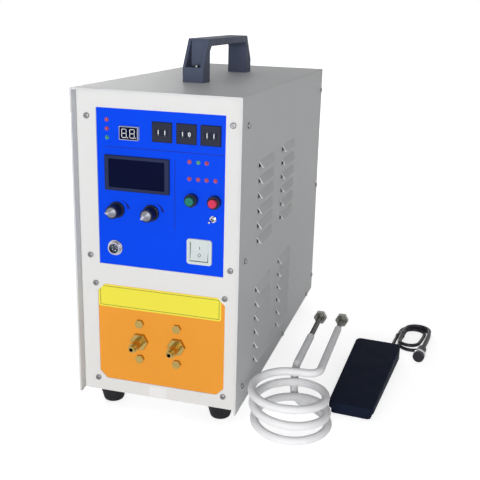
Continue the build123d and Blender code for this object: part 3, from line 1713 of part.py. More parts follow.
rotor_seat = fan_seat.offset(fan_axial_gap - fan_inner)
with BuildPart() as fan_rotor:
    with BuildSketch(rotor_seat):
        Circle(fan_hub / 2)
    extrude(amount=fan_rotor_depth)
    fillet(fan_rotor.edges().sort_by(Axis.Y)[-1], fan_blade_sheet)
    with BuildSketch(rotor_seat):
        Circle(fan_axle / 2 + running_clearance)
    extrude(amount=fan_inner - fan_bar_depth, mode=Mode.SUBTRACT)
    with Locations(*[rotor_seat * Location((0, 0, 0), (0, 0, turn)) for turn in fan_turns]):
        add(fan_blade.part)
save(fan_rotor.part, "fan_rotor")

# Inner plate that carries the power parts
with BuildPart() as centre_plate:
    with BuildSketch(facing(0, plate_front, tray_sheet, (1, 0, 0), (0, 0, 1))):
        Rectangle(plate_sheet, plate_rear - plate_front, align=Align.MIN)
    extrude(amount=plate_height)
    with BuildSketch(facing(0, plate_front, tray_sheet, (1, 0, 0), (0, 0, 1))):
        Rectangle(plate_foot, plate_rear - plate_front, align=Align.MIN)
    extrude(amount=plate_sheet)
save(centre_plate.part, "centre_plate")

# Water-cooled plate with its power modules and driver board
module_face = plate_sheet + cold_plate_size[0]
with BuildPart() as power_modules:
    with BuildSketch(facing(plate_sheet, 0, 0, (0, 1, 0), (1, 0, 0))):
        with Locations((power_y, power_z)):
            Rectangle(*cold_plate_size[1:])
    extrude(amount=cold_plate_size[0])
    with BuildSketch(facing(module_face, 0, 0, (0, 1, 0), (1, 0, 0))):
        with Locations((power_y, power_z)):
            with GridLocations(module_spacing, 1, module_count, 1):
                Rectangle(*module_size[1:])
    extrude(amount=module_size[0])
    with BuildSketch(facing(module_face + module_size[0], 0, 0, (0, 1, 0), (1, 0, 0))):
        with Locations((power_y, power_z)):
            Rectangle(*driver_board)
    extrude(amount=board_sheet)
save(power_modules.part, "power_modules")

# Bank of resonance capacitors
with BuildPart() as capacitor_bank:
    with BuildSketch(facing(0, 0, 0, (0, -1, 0), (-1, 0, 0))):
        with Locations((-capacitor_y, power_z)):
            Rectangle(capacitor_spacing * capacitor_count, capacitor_strap)
    extrude(amount=board_sheet)
    with BuildSketch(facing(-board_sheet, 0, 0, (0, -1, 0), (-1, 0, 0))):
        with Locations((-capacitor_y, power_z)):
            with GridLocations(capacitor_spacing, 1, capacitor_count, 1):
                Rectangle(*capacitor_size[1:])
    extrude(amount=capacitor_size[0])
    fillet(capacitor_bank.faces().sort_by(Axis.X)[:capacitor_count].edges(), cover_corner)
    with BuildSketch(facing(-board_sheet - capacitor_size[0], 0, 0, (0, -1, 0), (-1, 0, 0))):
        with Locations((-capacitor_y, power_z)):
            with GridLocations(capacitor_spacing, capacitor_size[2] / 2, capacitor_count, 2):
                Circle(bolt_diameter / 2)
    extrude(amount=bolt_diameter)
save(capacitor_bank.part, "capacitor_bank")

# Control board on four spacers behind the control plate
board_plane = plate_face.offset(-control_plate_sheet - spacer_length)
with BuildPart() as control_board:
    with BuildSketch(board_plane):
        with Locations(control_board_centre):
            Rectangle(*control_board_size)
    extrude(amount=-board_sheet)
    with BuildSketch(board_plane.offset(-board_sheet)):
        with Locations(control_board_centre):
            with GridLocations(*[board_part_spacing] * 2, *[board_part_rows] * 2):
                Rectangle(*board_part[:2])
    extrude(amount=-board_part[2])
    with BuildSketch(board_plane):
        with Locations(control_board_centre):
            with GridLocations(*spacer_spacing, 2, 2):
                Circle(spacer_diameter / 2)
    extrude(amount=spacer_length)
save(control_board.part, "control_board")

# Output transformer: a closed core, a winding round its middle leg, and its feet
core_y = core_front + core_size[1] / 2
core_face = facing(outlet_middle, core_front, outlet_height, (1, 0, 0), (0, -1, 0))
core_floor = outlet_height - core_size[2] / 2
middle_leg = 2 * window_x - core_window[0]
with BuildPart() as transformer_core:
    with BuildSketch(core_face):
        Rectangle(core_size[0], core_size[2])
        with Locations((-window_x, 0), (window_x, 0)):
            Rectangle(*core_window, mode=Mode.SUBTRACT)
    extrude(amount=-core_size[1])
    with BuildSketch(facing(outlet_middle, core_y, tray_sheet, (1, 0, 0), (0, 0, 1))):
        with GridLocations(core_size[0] - leg_width, 1, 2, 1):
            Rectangle(leg_width, core_size[1])
    extrude(amount=core_floor - tray_sheet)
save(transformer_core.part, "transformer_core")

with BuildPart() as transformer_winding:
    with BuildSketch(facing(outlet_middle, core_y, outlet_height, (1, 0, 0), (0, 0, 1))):
        RectangleRounded(
            middle_leg + 2 * winding_sheet, core_size[1] + 2 * winding_sheet, winding_sheet - sheet_gap
        )
        Rectangle(middle_leg, core_size[1], mode=Mode.SUBTRACT)
    extrude(amount=winding_length / 2, both=True)
save(transformer_winding.part, "transformer_winding")

# Water hoses from the output blocks to the tails at the back
hose_front = panel_recess + panel_sheet + outlet_board_sheet + block_size[2] / 2
hose_rear = rear_y - panel_sheet - gland_nut_height
with BuildPart() as water_hoses:
    for side, x in zip((-1, 1), tail_x):
        hose_start = outlet_middle + side * nipple_start
        with BuildLine() as hose_line:
            FilletPolyline(
                at(hose_start, hose_front, outlet_height),
                at(x, hose_front, outlet_height),
                at(x, hose_rear, outlet_height),
                radius=hose_bend,
            )
        with BuildSketch(facing(hose_start, hose_front, outlet_height, (0, 1, 0), (side, 0, 0))):
            Circle(hose_diameter / 2)
            Circle(hose_bore / 2, mode=Mode.SUBTRACT)
        sweep(path=hose_line.line)
save(water_hoses.part, "water_hoses")
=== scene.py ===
import json
from math import ceil, cos, pi, radians, sin, sqrt, tan

import bmesh
import bpy
from mathutils import Matrix, Vector
from mathutils import noise as waves


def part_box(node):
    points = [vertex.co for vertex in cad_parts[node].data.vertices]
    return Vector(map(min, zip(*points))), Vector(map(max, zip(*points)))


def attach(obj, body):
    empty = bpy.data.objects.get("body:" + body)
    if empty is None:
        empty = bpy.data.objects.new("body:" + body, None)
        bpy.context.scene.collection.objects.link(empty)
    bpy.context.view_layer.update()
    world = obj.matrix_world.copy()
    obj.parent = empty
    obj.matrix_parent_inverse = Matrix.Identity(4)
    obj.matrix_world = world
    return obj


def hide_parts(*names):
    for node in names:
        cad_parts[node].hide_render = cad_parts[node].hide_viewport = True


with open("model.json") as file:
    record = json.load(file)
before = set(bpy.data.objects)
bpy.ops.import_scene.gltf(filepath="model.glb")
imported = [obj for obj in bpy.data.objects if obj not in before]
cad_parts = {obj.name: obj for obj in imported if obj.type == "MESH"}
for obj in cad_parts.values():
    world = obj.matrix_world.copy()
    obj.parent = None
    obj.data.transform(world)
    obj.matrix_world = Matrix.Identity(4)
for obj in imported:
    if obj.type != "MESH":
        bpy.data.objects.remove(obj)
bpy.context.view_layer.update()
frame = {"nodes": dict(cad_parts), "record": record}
nodes = frame["nodes"]
scene = bpy.context.scene
MM = 0.001

# The machine's own corner: middle of its width, front edge and lower edge of its cover
cover_low, cover_high = (Vector(corner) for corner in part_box("wrap_cover"))
machine = Vector(((cover_low.x + cover_high.x) / 2, cover_low.y, cover_low.z))
ROOT = "machine"


def place(x, y, z):
    """A point by its place on the machine, in millimetres."""
    return machine + Vector((x, y, z)) * MM


# Camera, at the photograph's own viewing angle
CAMERA_PLACE = (353.9, -849.5, 507.0)
CAMERA_AZIMUTH = radians(14.606)
CAMERA_ELEVATION = radians(15.913)
CAMERA_ROLL = radians(1.804)
CAMERA_LENS = 57.51
CAMERA_SHIFT = (-0.0377, -0.0274)


def make_camera():
    """The camera stands where the photograph was taken from."""
    back = Vector(
        (
            sin(CAMERA_AZIMUTH) * cos(CAMERA_ELEVATION),
            -cos(CAMERA_AZIMUTH) * cos(CAMERA_ELEVATION),
            sin(CAMERA_ELEVATION),
        )
    )
    level = Vector((0, 0, 1)).cross(back).normalized()
    upright = back.cross(level)
    right = level * cos(CAMERA_ROLL) + upright * sin(CAMERA_ROLL)
    up = upright * cos(CAMERA_ROLL) - level * sin(CAMERA_ROLL)
    data = bpy.data.cameras.new("view_camera")
    data.lens = CAMERA_LENS
    data.shift_x, data.shift_y = CAMERA_SHIFT
    camera = bpy.data.objects.new("view_camera", data)
    turn = Matrix((right, up, back)).transposed().to_4x4()
    camera.matrix_world = Matrix.Translation(place(*CAMERA_PLACE)) @ turn
    scene.collection.objects.link(camera)
    scene.camera = camera


# Materials; grains and waves are counts per metre, and bump depths are in millimetres
NOISE_RANGE = (0.3, 0.7)
TONE_WAVES = 14
SHEEN_WAVES = 60
STAIN_WAVES = 120
COAT_ROUGHNESS = 0.15
SPUN_STRETCH = 0.85
SPUN_TURN = 0.25
# How much the braid's colour is darkened in the hollows between strands, as painted shade
BRAID_PAINTED_SHADE = 0.05
BRAID_DEPTH = 0.1
BRAID_SHEEN = 0.5
BRAID_ROUGHNESS = 0.7


def shader(name, colour, metallic=0.0, roughness=0.5):
    """A new material with its principled shader and its node tree."""
    made = bpy.data.materials.new(name)
    made.use_nodes = True
    tree = made.node_tree
    bsdf = tree.nodes["Principled BSDF"]
    bsdf.inputs["Base Color"].default_value = (*colour, 1)
    bsdf.inputs["Metallic"].default_value = metallic
    bsdf.inputs["Roughness"].default_value = roughness
    return made, tree, bsdf


def noise(tree, scale, detail, stretch=(1, 1, 1)):
    """Noise in the object's own space; the scale is in waves per metre."""
    coordinates = tree.nodes.new("ShaderNodeTexCoord")
    mapping = tree.nodes.new("ShaderNodeMapping")
    mapping.inputs["Scale"].default_value = stretch
    texture = tree.nodes.new("ShaderNodeTexNoise")
    texture.inputs["Scale"].default_value = scale
    texture.inputs["Detail"].default_value = detail
    tree.links.new(coordinates.outputs["Object"], mapping.inputs["Vector"])
    tree.links.new(mapping.outputs["Vector"], texture.inputs["Vector"])
    return texture.outputs["Fac"]


def remap(tree, value, low, high):
    """The value spread from its own middle range onto low to high."""
    ranged = tree.nodes.new("ShaderNodeMapRange")
    ranged.inputs["From Min"].default_value, ranged.inputs["From Max"].default_value = NOISE_RANGE
    ranged.inputs["To Min"].default_value = low
    ranged.inputs["To Max"].default_value = high
    tree.links.new(value, ranged.inputs["Value"])
    return ranged.outputs["Result"]


def tint(tree, bsdf, value, colour, spread):
    """Vary the colour between a darker and a lighter tone along a value."""
    ramp = tree.nodes.new("ShaderNodeValToRGB")
    dark, light = ramp.color_ramp.elements
    dark.position, light.position = NOISE_RANGE
    dark.color = (*(c * (1 - spread) for c in colour), 1)
    light.color = (*(min(1, c * (1 + spread)) for c in colour), 1)
    tree.links.new(value, ramp.inputs["Fac"])
    tree.links.new(ramp.outputs["Color"], bsdf.inputs["Base Color"])


def bump(tree, bsdf, value, depth):
    """Raise the surface by a value, to a depth in millimetres."""
    node = tree.nodes.new("ShaderNodeBump")
    node.inputs["Distance"].default_value = depth * MM
    node.inputs["Strength"].default_value = 1
    tree.links.new(value, node.inputs["Height"])
    tree.links.new(node.outputs["Normal"], bsdf.inputs["Normal"])


def coated(name, colour, rough, grain, depth, spread=0.03, gloss=0.5, coat=0.0):
    """Paint or moulded plastic: a fine grain, slow tone changes and uneven sheen."""
    made, tree, bsdf = shader(name, colour)
    tint(tree, bsdf, noise(tree, TONE_WAVES, 2), colour, spread)
    tree.links.new(remap(tree, noise(tree, SHEEN_WAVES, 3), *rough), bsdf.inputs["Roughness"])
    bump(tree, bsdf, noise(tree, grain, 2), depth)
    bsdf.inputs["Coat Weight"].default_value = coat
    bsdf.inputs["Coat Roughness"].default_value = COAT_ROUGHNESS
    bsdf.inputs["Specular IOR Level"].default_value = gloss
    return made


def metal(name, colour, rough, stretch=(1, 1, 1), grain=900, depth=0.01, spread=0.08):
    """Bare metal with drawn or turned marks and small stains."""
    made, tree, bsdf = shader(name, colour, metallic=1.0)
    tint(tree, bsdf, noise(tree, STAIN_WAVES, 5), colour, spread)
    marks = noise(tree, grain, 4, stretch)
    tree.links.new(remap(tree, marks, *rough), bsdf.inputs["Roughness"])
    bump(tree, bsdf, marks, depth)
    return made


def spun(name, colour, axis, rough):
    """Metal turned on a lathe: its rings throw the light into two opposite wedges."""
    made = metal(name, colour, rough, grain=1500, depth=0.002, spread=0.03)
    tree = made.node_tree
    bsdf = tree.nodes["Principled BSDF"]
    bsdf.inputs["Anisotropic"].default_value = SPUN_STRETCH
    bsdf.inputs["Anisotropic Rotation"].default_value = SPUN_TURN
    tangent = tree.nodes.new("ShaderNodeTangent")
    tangent.direction_type = "RADIAL"
    tangent.axis = axis
    tree.links.new(tangent.outputs["Tangent"], bsdf.inputs["Tangent"])
    return made


def calculate(tree, operation, first, second=0.0):
    """One step of arithmetic on values or numbers."""
    node = tree.nodes.new("ShaderNodeMath")
    node.operation = operation
    for socket, value in zip(node.inputs, (first, second)):
        if isinstance(value, float):
            socket.default_value = value
        else:
            tree.links.new(value, socket)
    return node.outputs[0]


def woven(name, colour):
    """A braid of two crossed sets of strands, over and under by turns, by the UV map. Its colour
    carries painted shade: darker in the hollows between strands and lighter on their crowns.
    """
    made, tree, bsdf = shader(name, colour, roughness=BRAID_ROUGHNESS)
    coordinates = tree.nodes.new("ShaderNodeTexCoord")
    split = tree.nodes.new("ShaderNodeSeparateXYZ")
    tree.links.new(coordinates.outputs["UV"], split.inputs["Vector"])
    across, along = split.outputs["X"], split.outputs["Y"]
    swings = []
    for operation in ("ADD", "SUBTRACT"):
        strand = calculate(tree, operation, across, along)
        swings.append(calculate(tree, "SINE", calculate(tree, "MULTIPLY", strand, pi)))
    rounds = [calculate(tree, "ABSOLUTE", swing) for swing in swings]
    over = calculate(tree, "GREATER_THAN", calculate(tree, "MULTIPLY", *swings), 0.0)
    under = calculate(tree, "SUBTRACT", 1.0, over)
    height = calculate(
        tree,
        "ADD",
        calculate(tree, "MULTIPLY", rounds[0], over),
        calculate(tree, "MULTIPLY", rounds[1], under),
    )
    # Painted shade: the colour follows the strands' height, darker in the hollows between them and
    # lighter on their crowns
    tint(tree, bsdf, height, colour, BRAID_PAINTED_SHADE)
    bump(tree, bsdf, height, BRAID_DEPTH)
    bsdf.inputs["Sheen Weight"].default_value = BRAID_SHEEN
    return made


# Finishes of the part's slots and of the small pieces. A coating gives its colour, range of
# roughness, grain, depth, spread of tones and gloss, and a metal its marks' stretch instead
looks = {
    "cover_grey": coated("cover_paint", (0.69, 0.70, 0.71), (0.46, 0.52), 1700, 0.02, 0.008, 0.12),
    "panel_white": coated("panel_paint", (0.74, 0.74, 0.73), (0.44, 0.5), 1700, 0.015, 0.006, 0.12),
    "zinc_steel": metal("zinc_plate", (0.24, 0.24, 0.25), (0.2, 0.36), (1, 1, 4)),
    "black_plastic": coated(
        "black_moulding", (0.088, 0.106, 0.16), (0.45, 0.55), 1500, 0.03, 0.03, 0.06
    ),
    "gloss_black": coated(
        "glossy_moulding", (0.012, 0.015, 0.036), (0.14, 0.24), 1500, 0.01, 0.03, 0.2
    ),
    "black_rubber": coated(
        "foot_rubber", (0.018, 0.018, 0.020), (0.6, 0.75), 900, 0.05, 0.03, 0.12
    ),
    "blue_plate": coated("blue_enamel", (0.002, 0.064, 0.82), (0.3, 0.4), 900, 0.004, 0.02, 0.05),
    "orange_board": coated("orange_board", (0.82, 0.33, 0.04), (0.4, 0.5), 700, 0.01, 0.02, 0.1),
    "red_lens": coated("red_lens", (0.38, 0.008, 0.05), (0.06, 0.1), 500, 0.002, 0.1, coat=0.8),
    "green_lens": coated("green_lens", (0.01, 0.24, 0.10), (0.06, 0.1), 500, 0.002, 0.1, coat=0.8),
    "white_plastic": coated(
        "white_moulding", (0.62, 0.68, 0.68), (0.25, 0.35), 1500, 0.01, 0.01, 0.3
    ),
    "grey_frame": coated(
        "grey_moulding", (0.014, 0.021, 0.064), (0.4, 0.5), 1500, 0.02, 0.03, 0.15
    ),
    "meter_glass": coated("dark_window", (0.001, 0.003, 0.026), (0.06, 0.1), 400, 0.001, 0.1, 0.03),
    "satin_aluminium": spun("spun_aluminium", (0.22, 0.225, 0.27), "Y", (0.40, 0.46)),
    "red_plastic": coated("red_button", (0.62, 0.025, 0.085), (0.25, 0.35), 1200, 0.01, 0.02, 0.25),
    "green_plastic": coated(
        "green_button", (0.003, 0.18, 0.12), (0.25, 0.35), 1200, 0.01, 0.02, 0.25
    ),
    "bright_metal": metal("bright_plate", (0.46, 0.46, 0.48), (0.1, 0.22)),
    "brass": metal("turned_brass", (0.43, 0.31, 0.10), (0.14, 0.28), (1, 6, 1)),
    "copper": metal("bare_copper", (0.75, 0.40, 0.26), (0.25, 0.4)),
    "dark_copper": metal("dark_copper", (0.060, 0.055, 0.050), (0.3, 0.5)),
    "dull_steel": metal("dull_nickel", (0.17, 0.17, 0.155), (0.2, 0.34)),
    "white_sleeve": woven("white_braid", (0.93, 0.93, 0.95)),
    "cord_black": coated("cord_jacket", (0.008, 0.008, 0.014), (0.35, 0.5), 1600, 0.02, 0.03, 0.3),
    "core_steel": coated("core_laminations", (0.06, 0.06, 0.065), (0.4, 0.6), 600, 0.04, 0.15),
    "board_green": coated("board_lacquer", (0.01, 0.13, 0.05), (0.25, 0.4), 800, 0.02, 0.1),
    "hose_clear": coated("hose_wall", (0.45, 0.50, 0.52), (0.3, 0.45), 900, 0.02),
    "capacitor_yellow": coated("capacitor_case", (0.65, 0.45, 0.08), (0.3, 0.45), 900, 0.02),
    "yellow_film": coated("yellow_film", (0.84, 0.76, 0.07), (0.35, 0.45), 900, 0.004, 0.01, 0.1),
    "white_film": coated("white_film", (0.80, 0.80, 0.80), (0.4, 0.5), 900, 0.006, 0.01),
    "olive_ink": coated("olive_ink", (0.12, 0.11, 0.01), (0.4, 0.5), 900, 0.004, 0.05),
    "navy_ink": coated("navy_ink", (0.002, 0.010, 0.20), (0.3, 0.4), 900, 0.004, 0.05, 0.2),
    "figure_white": coated("figure_white", (0.80, 0.82, 0.85), (0.3, 0.4), 900, 0.004, 0.02),
    "pedal_plastic": coated(
        "pedal_moulding", (0.009, 0.013, 0.028), (0.55, 0.65), 700, 0.08, 0.03, 0.03
    ),
}


def paint_nodes():
    """Give every part node the finish of its slot."""
    slots = {s["node"]: s["material_slot"] for s in frame["record"]["subparts"]}
    for name, node in nodes.items():
        node.data.materials.clear()
        node.data.materials.append(looks[slots[name]])


# Pedal cord, from its relief to its plug, as one line, in millimetres
FLOOR = -24
CORD_DIAMETER = 5.6
CORD_REST = FLOOR + CORD_DIAMETER / 2
PEDAL_NEAR = (246.5, 86.6)
PEDAL_TURN = radians(-4.3)
CORD_START = (20, 187.6, 9)
CORD_FIRST_BEND = (20, 231.6, 9)
BUNDLE_CENTRE = (311.5, 372)
BUNDLE_TURN = radians(-7)
BUNDLE_RADIUS = 27
BUNDLE_STEP = 4
BUNDLE_RUN = 50
BUNDLE_LAYER = 6.1
BUNDLE_EXIT = 21
BUNDLE_LEAD = 16
TURN_POINTS = 7
OUTER_LEFT, INNER_LEFT = -BUNDLE_RADIUS, 2 * BUNDLE_STEP - BUNDLE_RADIUS
OUTER_RIGHT, INNER_RIGHT = BUNDLE_RADIUS - BUNDLE_STEP, BUNDLE_RADIUS - 3 * BUNDLE_STEP
BUNDLE_END = BUNDLE_RUN / 2
PLUG_START = (OUTER_RIGHT, -BUNDLE_END - BUNDLE_EXIT, 1)


def turned(origin, angle, x, y):
    """A place in a frame that is turned about the vertical."""
    return (
        origin[0] + x * cos(angle) - y * sin(angle),
        origin[1] + x * sin(angle) + y * cos(angle),
    )


def on_pedal(x, y, height):
    """A point by its place on the pedal, in millimetres above the floor."""
    return place(*turned(PEDAL_NEAR, PEDAL_TURN, x, y), FLOOR + height)


def on_bundle(x, y, layer):
    """A point by its place in the cord's bundle."""
    return place(*turned(BUNDLE_CENTRE, BUNDLE_TURN, x, y), CORD_REST + layer * BUNDLE_LAYER)


def cord_route():
    """The cord's own points: down from the pedal, round the bundle and out to the plug."""
    points = [
        on_pedal(*CORD_START),
        on_pedal(*CORD_FIRST_BEND),
        on_bundle(OUTER_LEFT, -BUNDLE_END - BUNDLE_LEAD, 0),
    ]
    # Each half turn by its left and right side, the end it goes round and its layer
    half_turns = (
        (OUTER_LEFT, OUTER_RIGHT, BUNDLE_END, 0),
        (INNER_LEFT, OUTER_RIGHT, -BUNDLE_END, 0),
        (INNER_LEFT, INNER_RIGHT, BUNDLE_END, 0),
        (INNER_LEFT, INNER_RIGHT, -BUNDLE_END, 1),
        (INNER_LEFT, OUTER_RIGHT, BUNDLE_END, 1),
    )
    for number, (left, right, end, layer) in enumerate(half_turns):
        centre, radius = (left + right) / 2, (right - left) / 2
        for step in range(TURN_POINTS):
            angle = pi * (number + 1) - pi * step / (TURN_POINTS - 1)
            points.append(on_bundle(centre + radius * cos(angle), end + radius * sin(angle), layer))
    points.append(on_bundle(OUTER_RIGHT, -BUNDLE_END, 1))
    points.append(on_bundle(*PLUG_START))
    return points


def make_cord():
    """The pedal's cord as one smooth line."""
    curve = bpy.data.curves.new("pedal_cord_line", "CURVE")
    curve.dimensions = "3D"
    curve.bevel_depth = CORD_DIAMETER / 2 * MM
    curve.bevel_resolution = 6
    curve.resolution_u = 8
    spline = curve.splines.new("NURBS")
    points = cord_route()
    spline.points.add(len(points) - 1)
    for knot, point in zip(spline.points, points):
        knot.co = (*point, 1)
    spline.order_u = 3
    spline.use_endpoint_u = True
    cord = bpy.data.objects.new("pedal_cord_line", curve)
    scene.collection.objects.link(cord)
    curve.materials.append(looks["cord_black"])
    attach(cord, ROOT)
    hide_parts("pedal_cord", "pedal_cord_coil")


# Woven sleeve of the work coil, drawn along the same line as the pipe inside it, in
# millimetres and turns
SLEEVE_RADIUS = 5.45
SLEEVE_INSIDE = 4.1
SLEEVE_ENDS = (214, 256)
SLEEVE_SIDES = 28
SLEEVE_STEP = 1.3
SLEEVE_STRANDS = 22
STRAND_PITCH = 1.5
SLACK_WAVES = 0.09
SLACK_DEPTH = 0.16
CREASE_WAVES = 0.55
CREASE_DEPTH = 0.08
COIL_CENTRE = (172.3, 41.6)
COIL_RADIUS = 48.4
COIL_LEAN = 5.3
COIL_FIRST = 1 / 10
COIL_LAST = 2.986
COIL_STEPS = 12
COIL_GLANCE = 0.001
COIL_FLAT_TURNS = 0.5
COIL_STEEP_TURNS = 2
COIL_PITCH = 22.2
COIL_LAST_PITCH = 7.6
COIL_LEADS = (165, 200)
COIL_LOW = FLOOR + 5.6
COIL_RISER_GAP = 12.5
COIL_RISER_FOOT = -2
COIL_BEND = 16
STRAIGHT_SHARE = 1 / 1000


def coil_point(turns):
    """A point on the coil's middle line, in millimetres, by the turns climbed."""
    angle = pi / 2 - 2 * pi * turns
    climbed = max(turns - COIL_FLAT_TURNS, 0)
    steep = min(climbed, COIL_STEEP_TURNS)
    rise = COIL_PITCH * steep + COIL_LAST_PITCH * (climbed - steep)
    height = COIL_PITCH * COIL_STEEP_TURNS + COIL_LAST_PITCH * COIL_FLAT_TURNS
    lean = COIL_LEAN * (1 / 2 - rise / height)
    return Vector(
        (
            COIL_CENTRE[0] + lean + COIL_RADIUS * cos(angle),
            COIL_CENTRE[1] + COIL_RADIUS * sin(angle),
            COIL_LOW + rise,
        )
    )


def coil_way(turns):
    """The way the coil's middle line heads at that point."""
    return (coil_point(turns + COIL_GLANCE) - coil_point(turns - COIL_GLANCE)).normalized()


def arc_on(points, way, end):
    """Lengthen a line by the arc that leaves its last point along a heading."""
    start = points[-1].copy()
    chord = end - start
    bend = way.cross(chord)
    if bend.length < chord.length * STRAIGHT_SHARE:
        count = ceil(chord.length / SLEEVE_STEP)
        points.extend(start + chord * k / count for k in range(1, count + 1))
        return
    angle = 2 * way.angle(chord)
    radius = chord.length / 2 / sin(angle / 2)
    axis = bend.normalized()
    centre = start + axis.cross(way) * radius
    count = ceil(radius * angle / SLEEVE_STEP)
    for k in range(1, count + 1):
        points.append(centre + Matrix.Rotation(angle * k / count, 3, axis) @ (start - centre))


def two_arcs_on(points, start_way, end, end_way):
    """Lengthen a line by two arcs that turn from one heading to another."""
    start = points[-1]
    gap = end - start
    along = gap.dot(start_way + end_way)
    spare = 2 * (1 - start_way.dot(end_way))
    reach = gap.dot(gap) / (along + sqrt(along * along + spare * gap.dot(gap)))
    joint = (start + end + (start_way - end_way) * reach) / 2
    way = ((end - end_way * reach) - (start + start_way * reach)).normalized()
    arc_on(points, start_way, joint)
    arc_on(points, way, end)


def corner_on(points, corner, after):
    """Lengthen a line round a corner, up to the start of the straight behind it."""
    back = (points[-1] - corner).normalized()
    ahead = (after - corner).normalized()
    cut = COIL_BEND / tan(back.angle(ahead) / 2)
    arc_on(points, -back, corner + back * cut)
    arc_on(points, -back, corner + ahead * cut)


def sleeve_line():
    """The sleeve's middle line, in millimetres on the machine."""
    finish = coil_point(COIL_LAST)
    finish_way = coil_way(COIL_LAST)
    finish_way.z = 0
    finish_way.normalize()
    lead = finish.z
    riser = COIL_CENTRE[1] + COIL_RADIUS + COIL_RISER_GAP
    foot = Vector((COIL_LEADS[0], riser, COIL_RISER_FOOT))
    points = [Vector((COIL_LEADS[0], SLEEVE_ENDS[0], lead))]
    corner_on(points, Vector((COIL_LEADS[0], riser, lead)), foot)
    down = Vector((0, 0, -1))
    arc_on(points, down, foot)
    run = COIL_LAST - COIL_FIRST
    stations = [COIL_FIRST + run * k / COIL_STEPS for k in range(COIL_STEPS + 1)]
    ways = [coil_way(turns) for turns in stations]
    ways[-1] = finish_way
    two_arcs_on(points, down, coil_point(stations[0]), ways[0])
    for k in range(COIL_STEPS):
        two_arcs_on(points, ways[k], coil_point(stations[k + 1]), ways[k + 1])
    corner = finish + finish_way * (COIL_LEADS[1] - finish.x) / finish_way.x
    end = Vector((COIL_LEADS[1], SLEEVE_ENDS[1], lead))
    corner_on(points, corner, end)
    arc_on(points, (end - corner).normalized(), end)
    return points


def make_sleeve():
    """The woven sleeve as a tube with slack spots, small wrinkles and turned-in ends."""
    line = sleeve_line()
    work = bmesh.new()
    layout = work.loops.layers.uv.new("weave")
    side = Vector((1, 0, 0))
    travelled = 0.0
    rings = []
    for index, point in enumerate(line):
        before, after = line[max(index - 1, 0)], line[min(index + 1, len(line) - 1)]
        way = (after - before).normalized()
        side = (side - way * side.dot(way)).normalized()
        other = way.cross(side)
        if index:
            travelled += (point - before).length
        reach = SLEEVE_INSIDE if index in (0, len(line) - 1) else SLEEVE_RADIUS
        ring = []
        for step in range(SLEEVE_SIDES):
            angle = 2 * pi * step / SLEEVE_SIDES
            out = side * cos(angle) + other * sin(angle)
            slack = waves.noise((point + out * reach) * SLACK_WAVES) * SLACK_DEPTH
            spot = Vector((travelled * CREASE_WAVES, cos(angle), sin(angle)))
            crease = waves.noise(spot) * CREASE_DEPTH
            size = reach + (slack + crease if reach == SLEEVE_RADIUS else 0)
            ring.append(work.verts.new(place(*(point + out * size))))
        rings.append((ring, travelled))
    turn = SLEEVE_STRANDS / SLEEVE_SIDES
    for (ring, start), (next_ring, stop) in zip(rings, rings[1:]):
        for step in range(SLEEVE_SIDES):
            after = (step + 1) % SLEEVE_SIDES
            face = work.faces.new((ring[step], ring[after], next_ring[after], next_ring[step]))
            face.smooth = True
            spots = ((step, start), (step + 1, start), (step + 1, stop), (step, stop))
            for loop, (around, along) in zip(face.loops, spots):
                loop[layout].uv = (around * turn, along / STRAND_PITCH)
    piece = finished("woven_sleeve", work, "white_sleeve")
    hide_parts("coil_sleeve")


# Small pieces that lie on the panels; levels are millimetres behind the cover's front edge
PLATE_LEVEL = 15.5
PANEL_LEVEL = 14
SKIN = 0.25


def add_piece(name, mesh, material, body=ROOT):
    """Link a mesh as a piece that takes a finish and rides on a body."""
    piece = bpy.data.objects.new(name, mesh)
    scene.collection.objects.link(piece)
    mesh.materials.append(looks[material])
    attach(piece, body)
    return piece


def closed(name, work):
    """Turn a mesh that is being made into a finished one, with its faces outwards."""
    bmesh.ops.recalc_face_normals(work, faces=work.faces)
    mesh = bpy.data.meshes.new(name)
    work.to_mesh(mesh)
    work.free()
    return mesh


def finished(name, work, material):
    """Add a mesh that is being made as a piece that rides on the machine."""
    return add_piece(name, closed(name, work), material)


def rounded(centre, size, radius, steps=6):
    """The outline of a rectangle with round corners, in x and z."""
    half_x, half_z = size[0] / 2 - radius, size[1] / 2 - radius
    points = []
    for corner, (side_x, side_z) in enumerate(((1, 1), (-1, 1), (-1, -1), (1, -1))):
        for step in range(steps + 1):
            angle = pi / 2 * (corner + step / steps)
            x = centre[0] + side_x * half_x + radius * cos(angle)
            z = centre[1] + side_z * half_z + radius * sin(angle)
            points.append((x, z))
    return points


def plates(name, outlines, level, thickness, material):
    """Thin plates in front of a plane that faces the viewer, as one piece."""
    work = bmesh.new()
    for outline in outlines:
        front = [work.verts.new(place(x, level - thickness, z)) for x, z in outline]
        back = [work.verts.new(place(x, level, z)) for x, z in outline]
        work.faces.new(front)
        work.faces.new(list(reversed(back)))
        for i, j in zip(range(len(outline)), [*range(1, len(outline)), 0]):
            work.faces.new((front[j], front[i], back[i], back[j]))
    finished(name, work, material)


def frame_strips(centre, size, width):
    """Four strips that make a rectangular line, in x and z."""
    (x, z), (half_x, half_z) = centre, (size[0] / 2, size[1] / 2)
    strips = []
    for side in (-1, 1):
        strips.append(rounded((x, z + side * half_z), (size[0], width), width / 3, 2))
        strips.append(rounded((x + side * half_x, z), (width, size[1]), width / 3, 2))
    return strips


def linked(work, rings, smooth=False):
    """Faces between each ring of a mesh and the next, and from the last to the first."""
    for ring, next_ring in zip(rings, [*rings[1:], rings[0]]):
        for corner, vertex in enumerate(ring):
            after = (corner + 1) % len(ring)
            face = work.faces.new((vertex, ring[after], next_ring[after], next_ring[corner]))
            face.smooth = smooth


def lathe(work, base, way, profile, sides):
    """Add a turned ring to a mesh, by the radii and heights round its closed section."""
    side = way.orthogonal().normalized()
    other = way.cross(side)
    rings = []
    for radius, height in profile:
        ring = []
        for step in range(sides):
            angle = 2 * pi * step / sides
            out = side * cos(angle) + other * sin(angle)
            ring.append(work.verts.new(base + (way * height + out * radius) * MM))
        rings.append(ring)
    linked(work, rings, True)


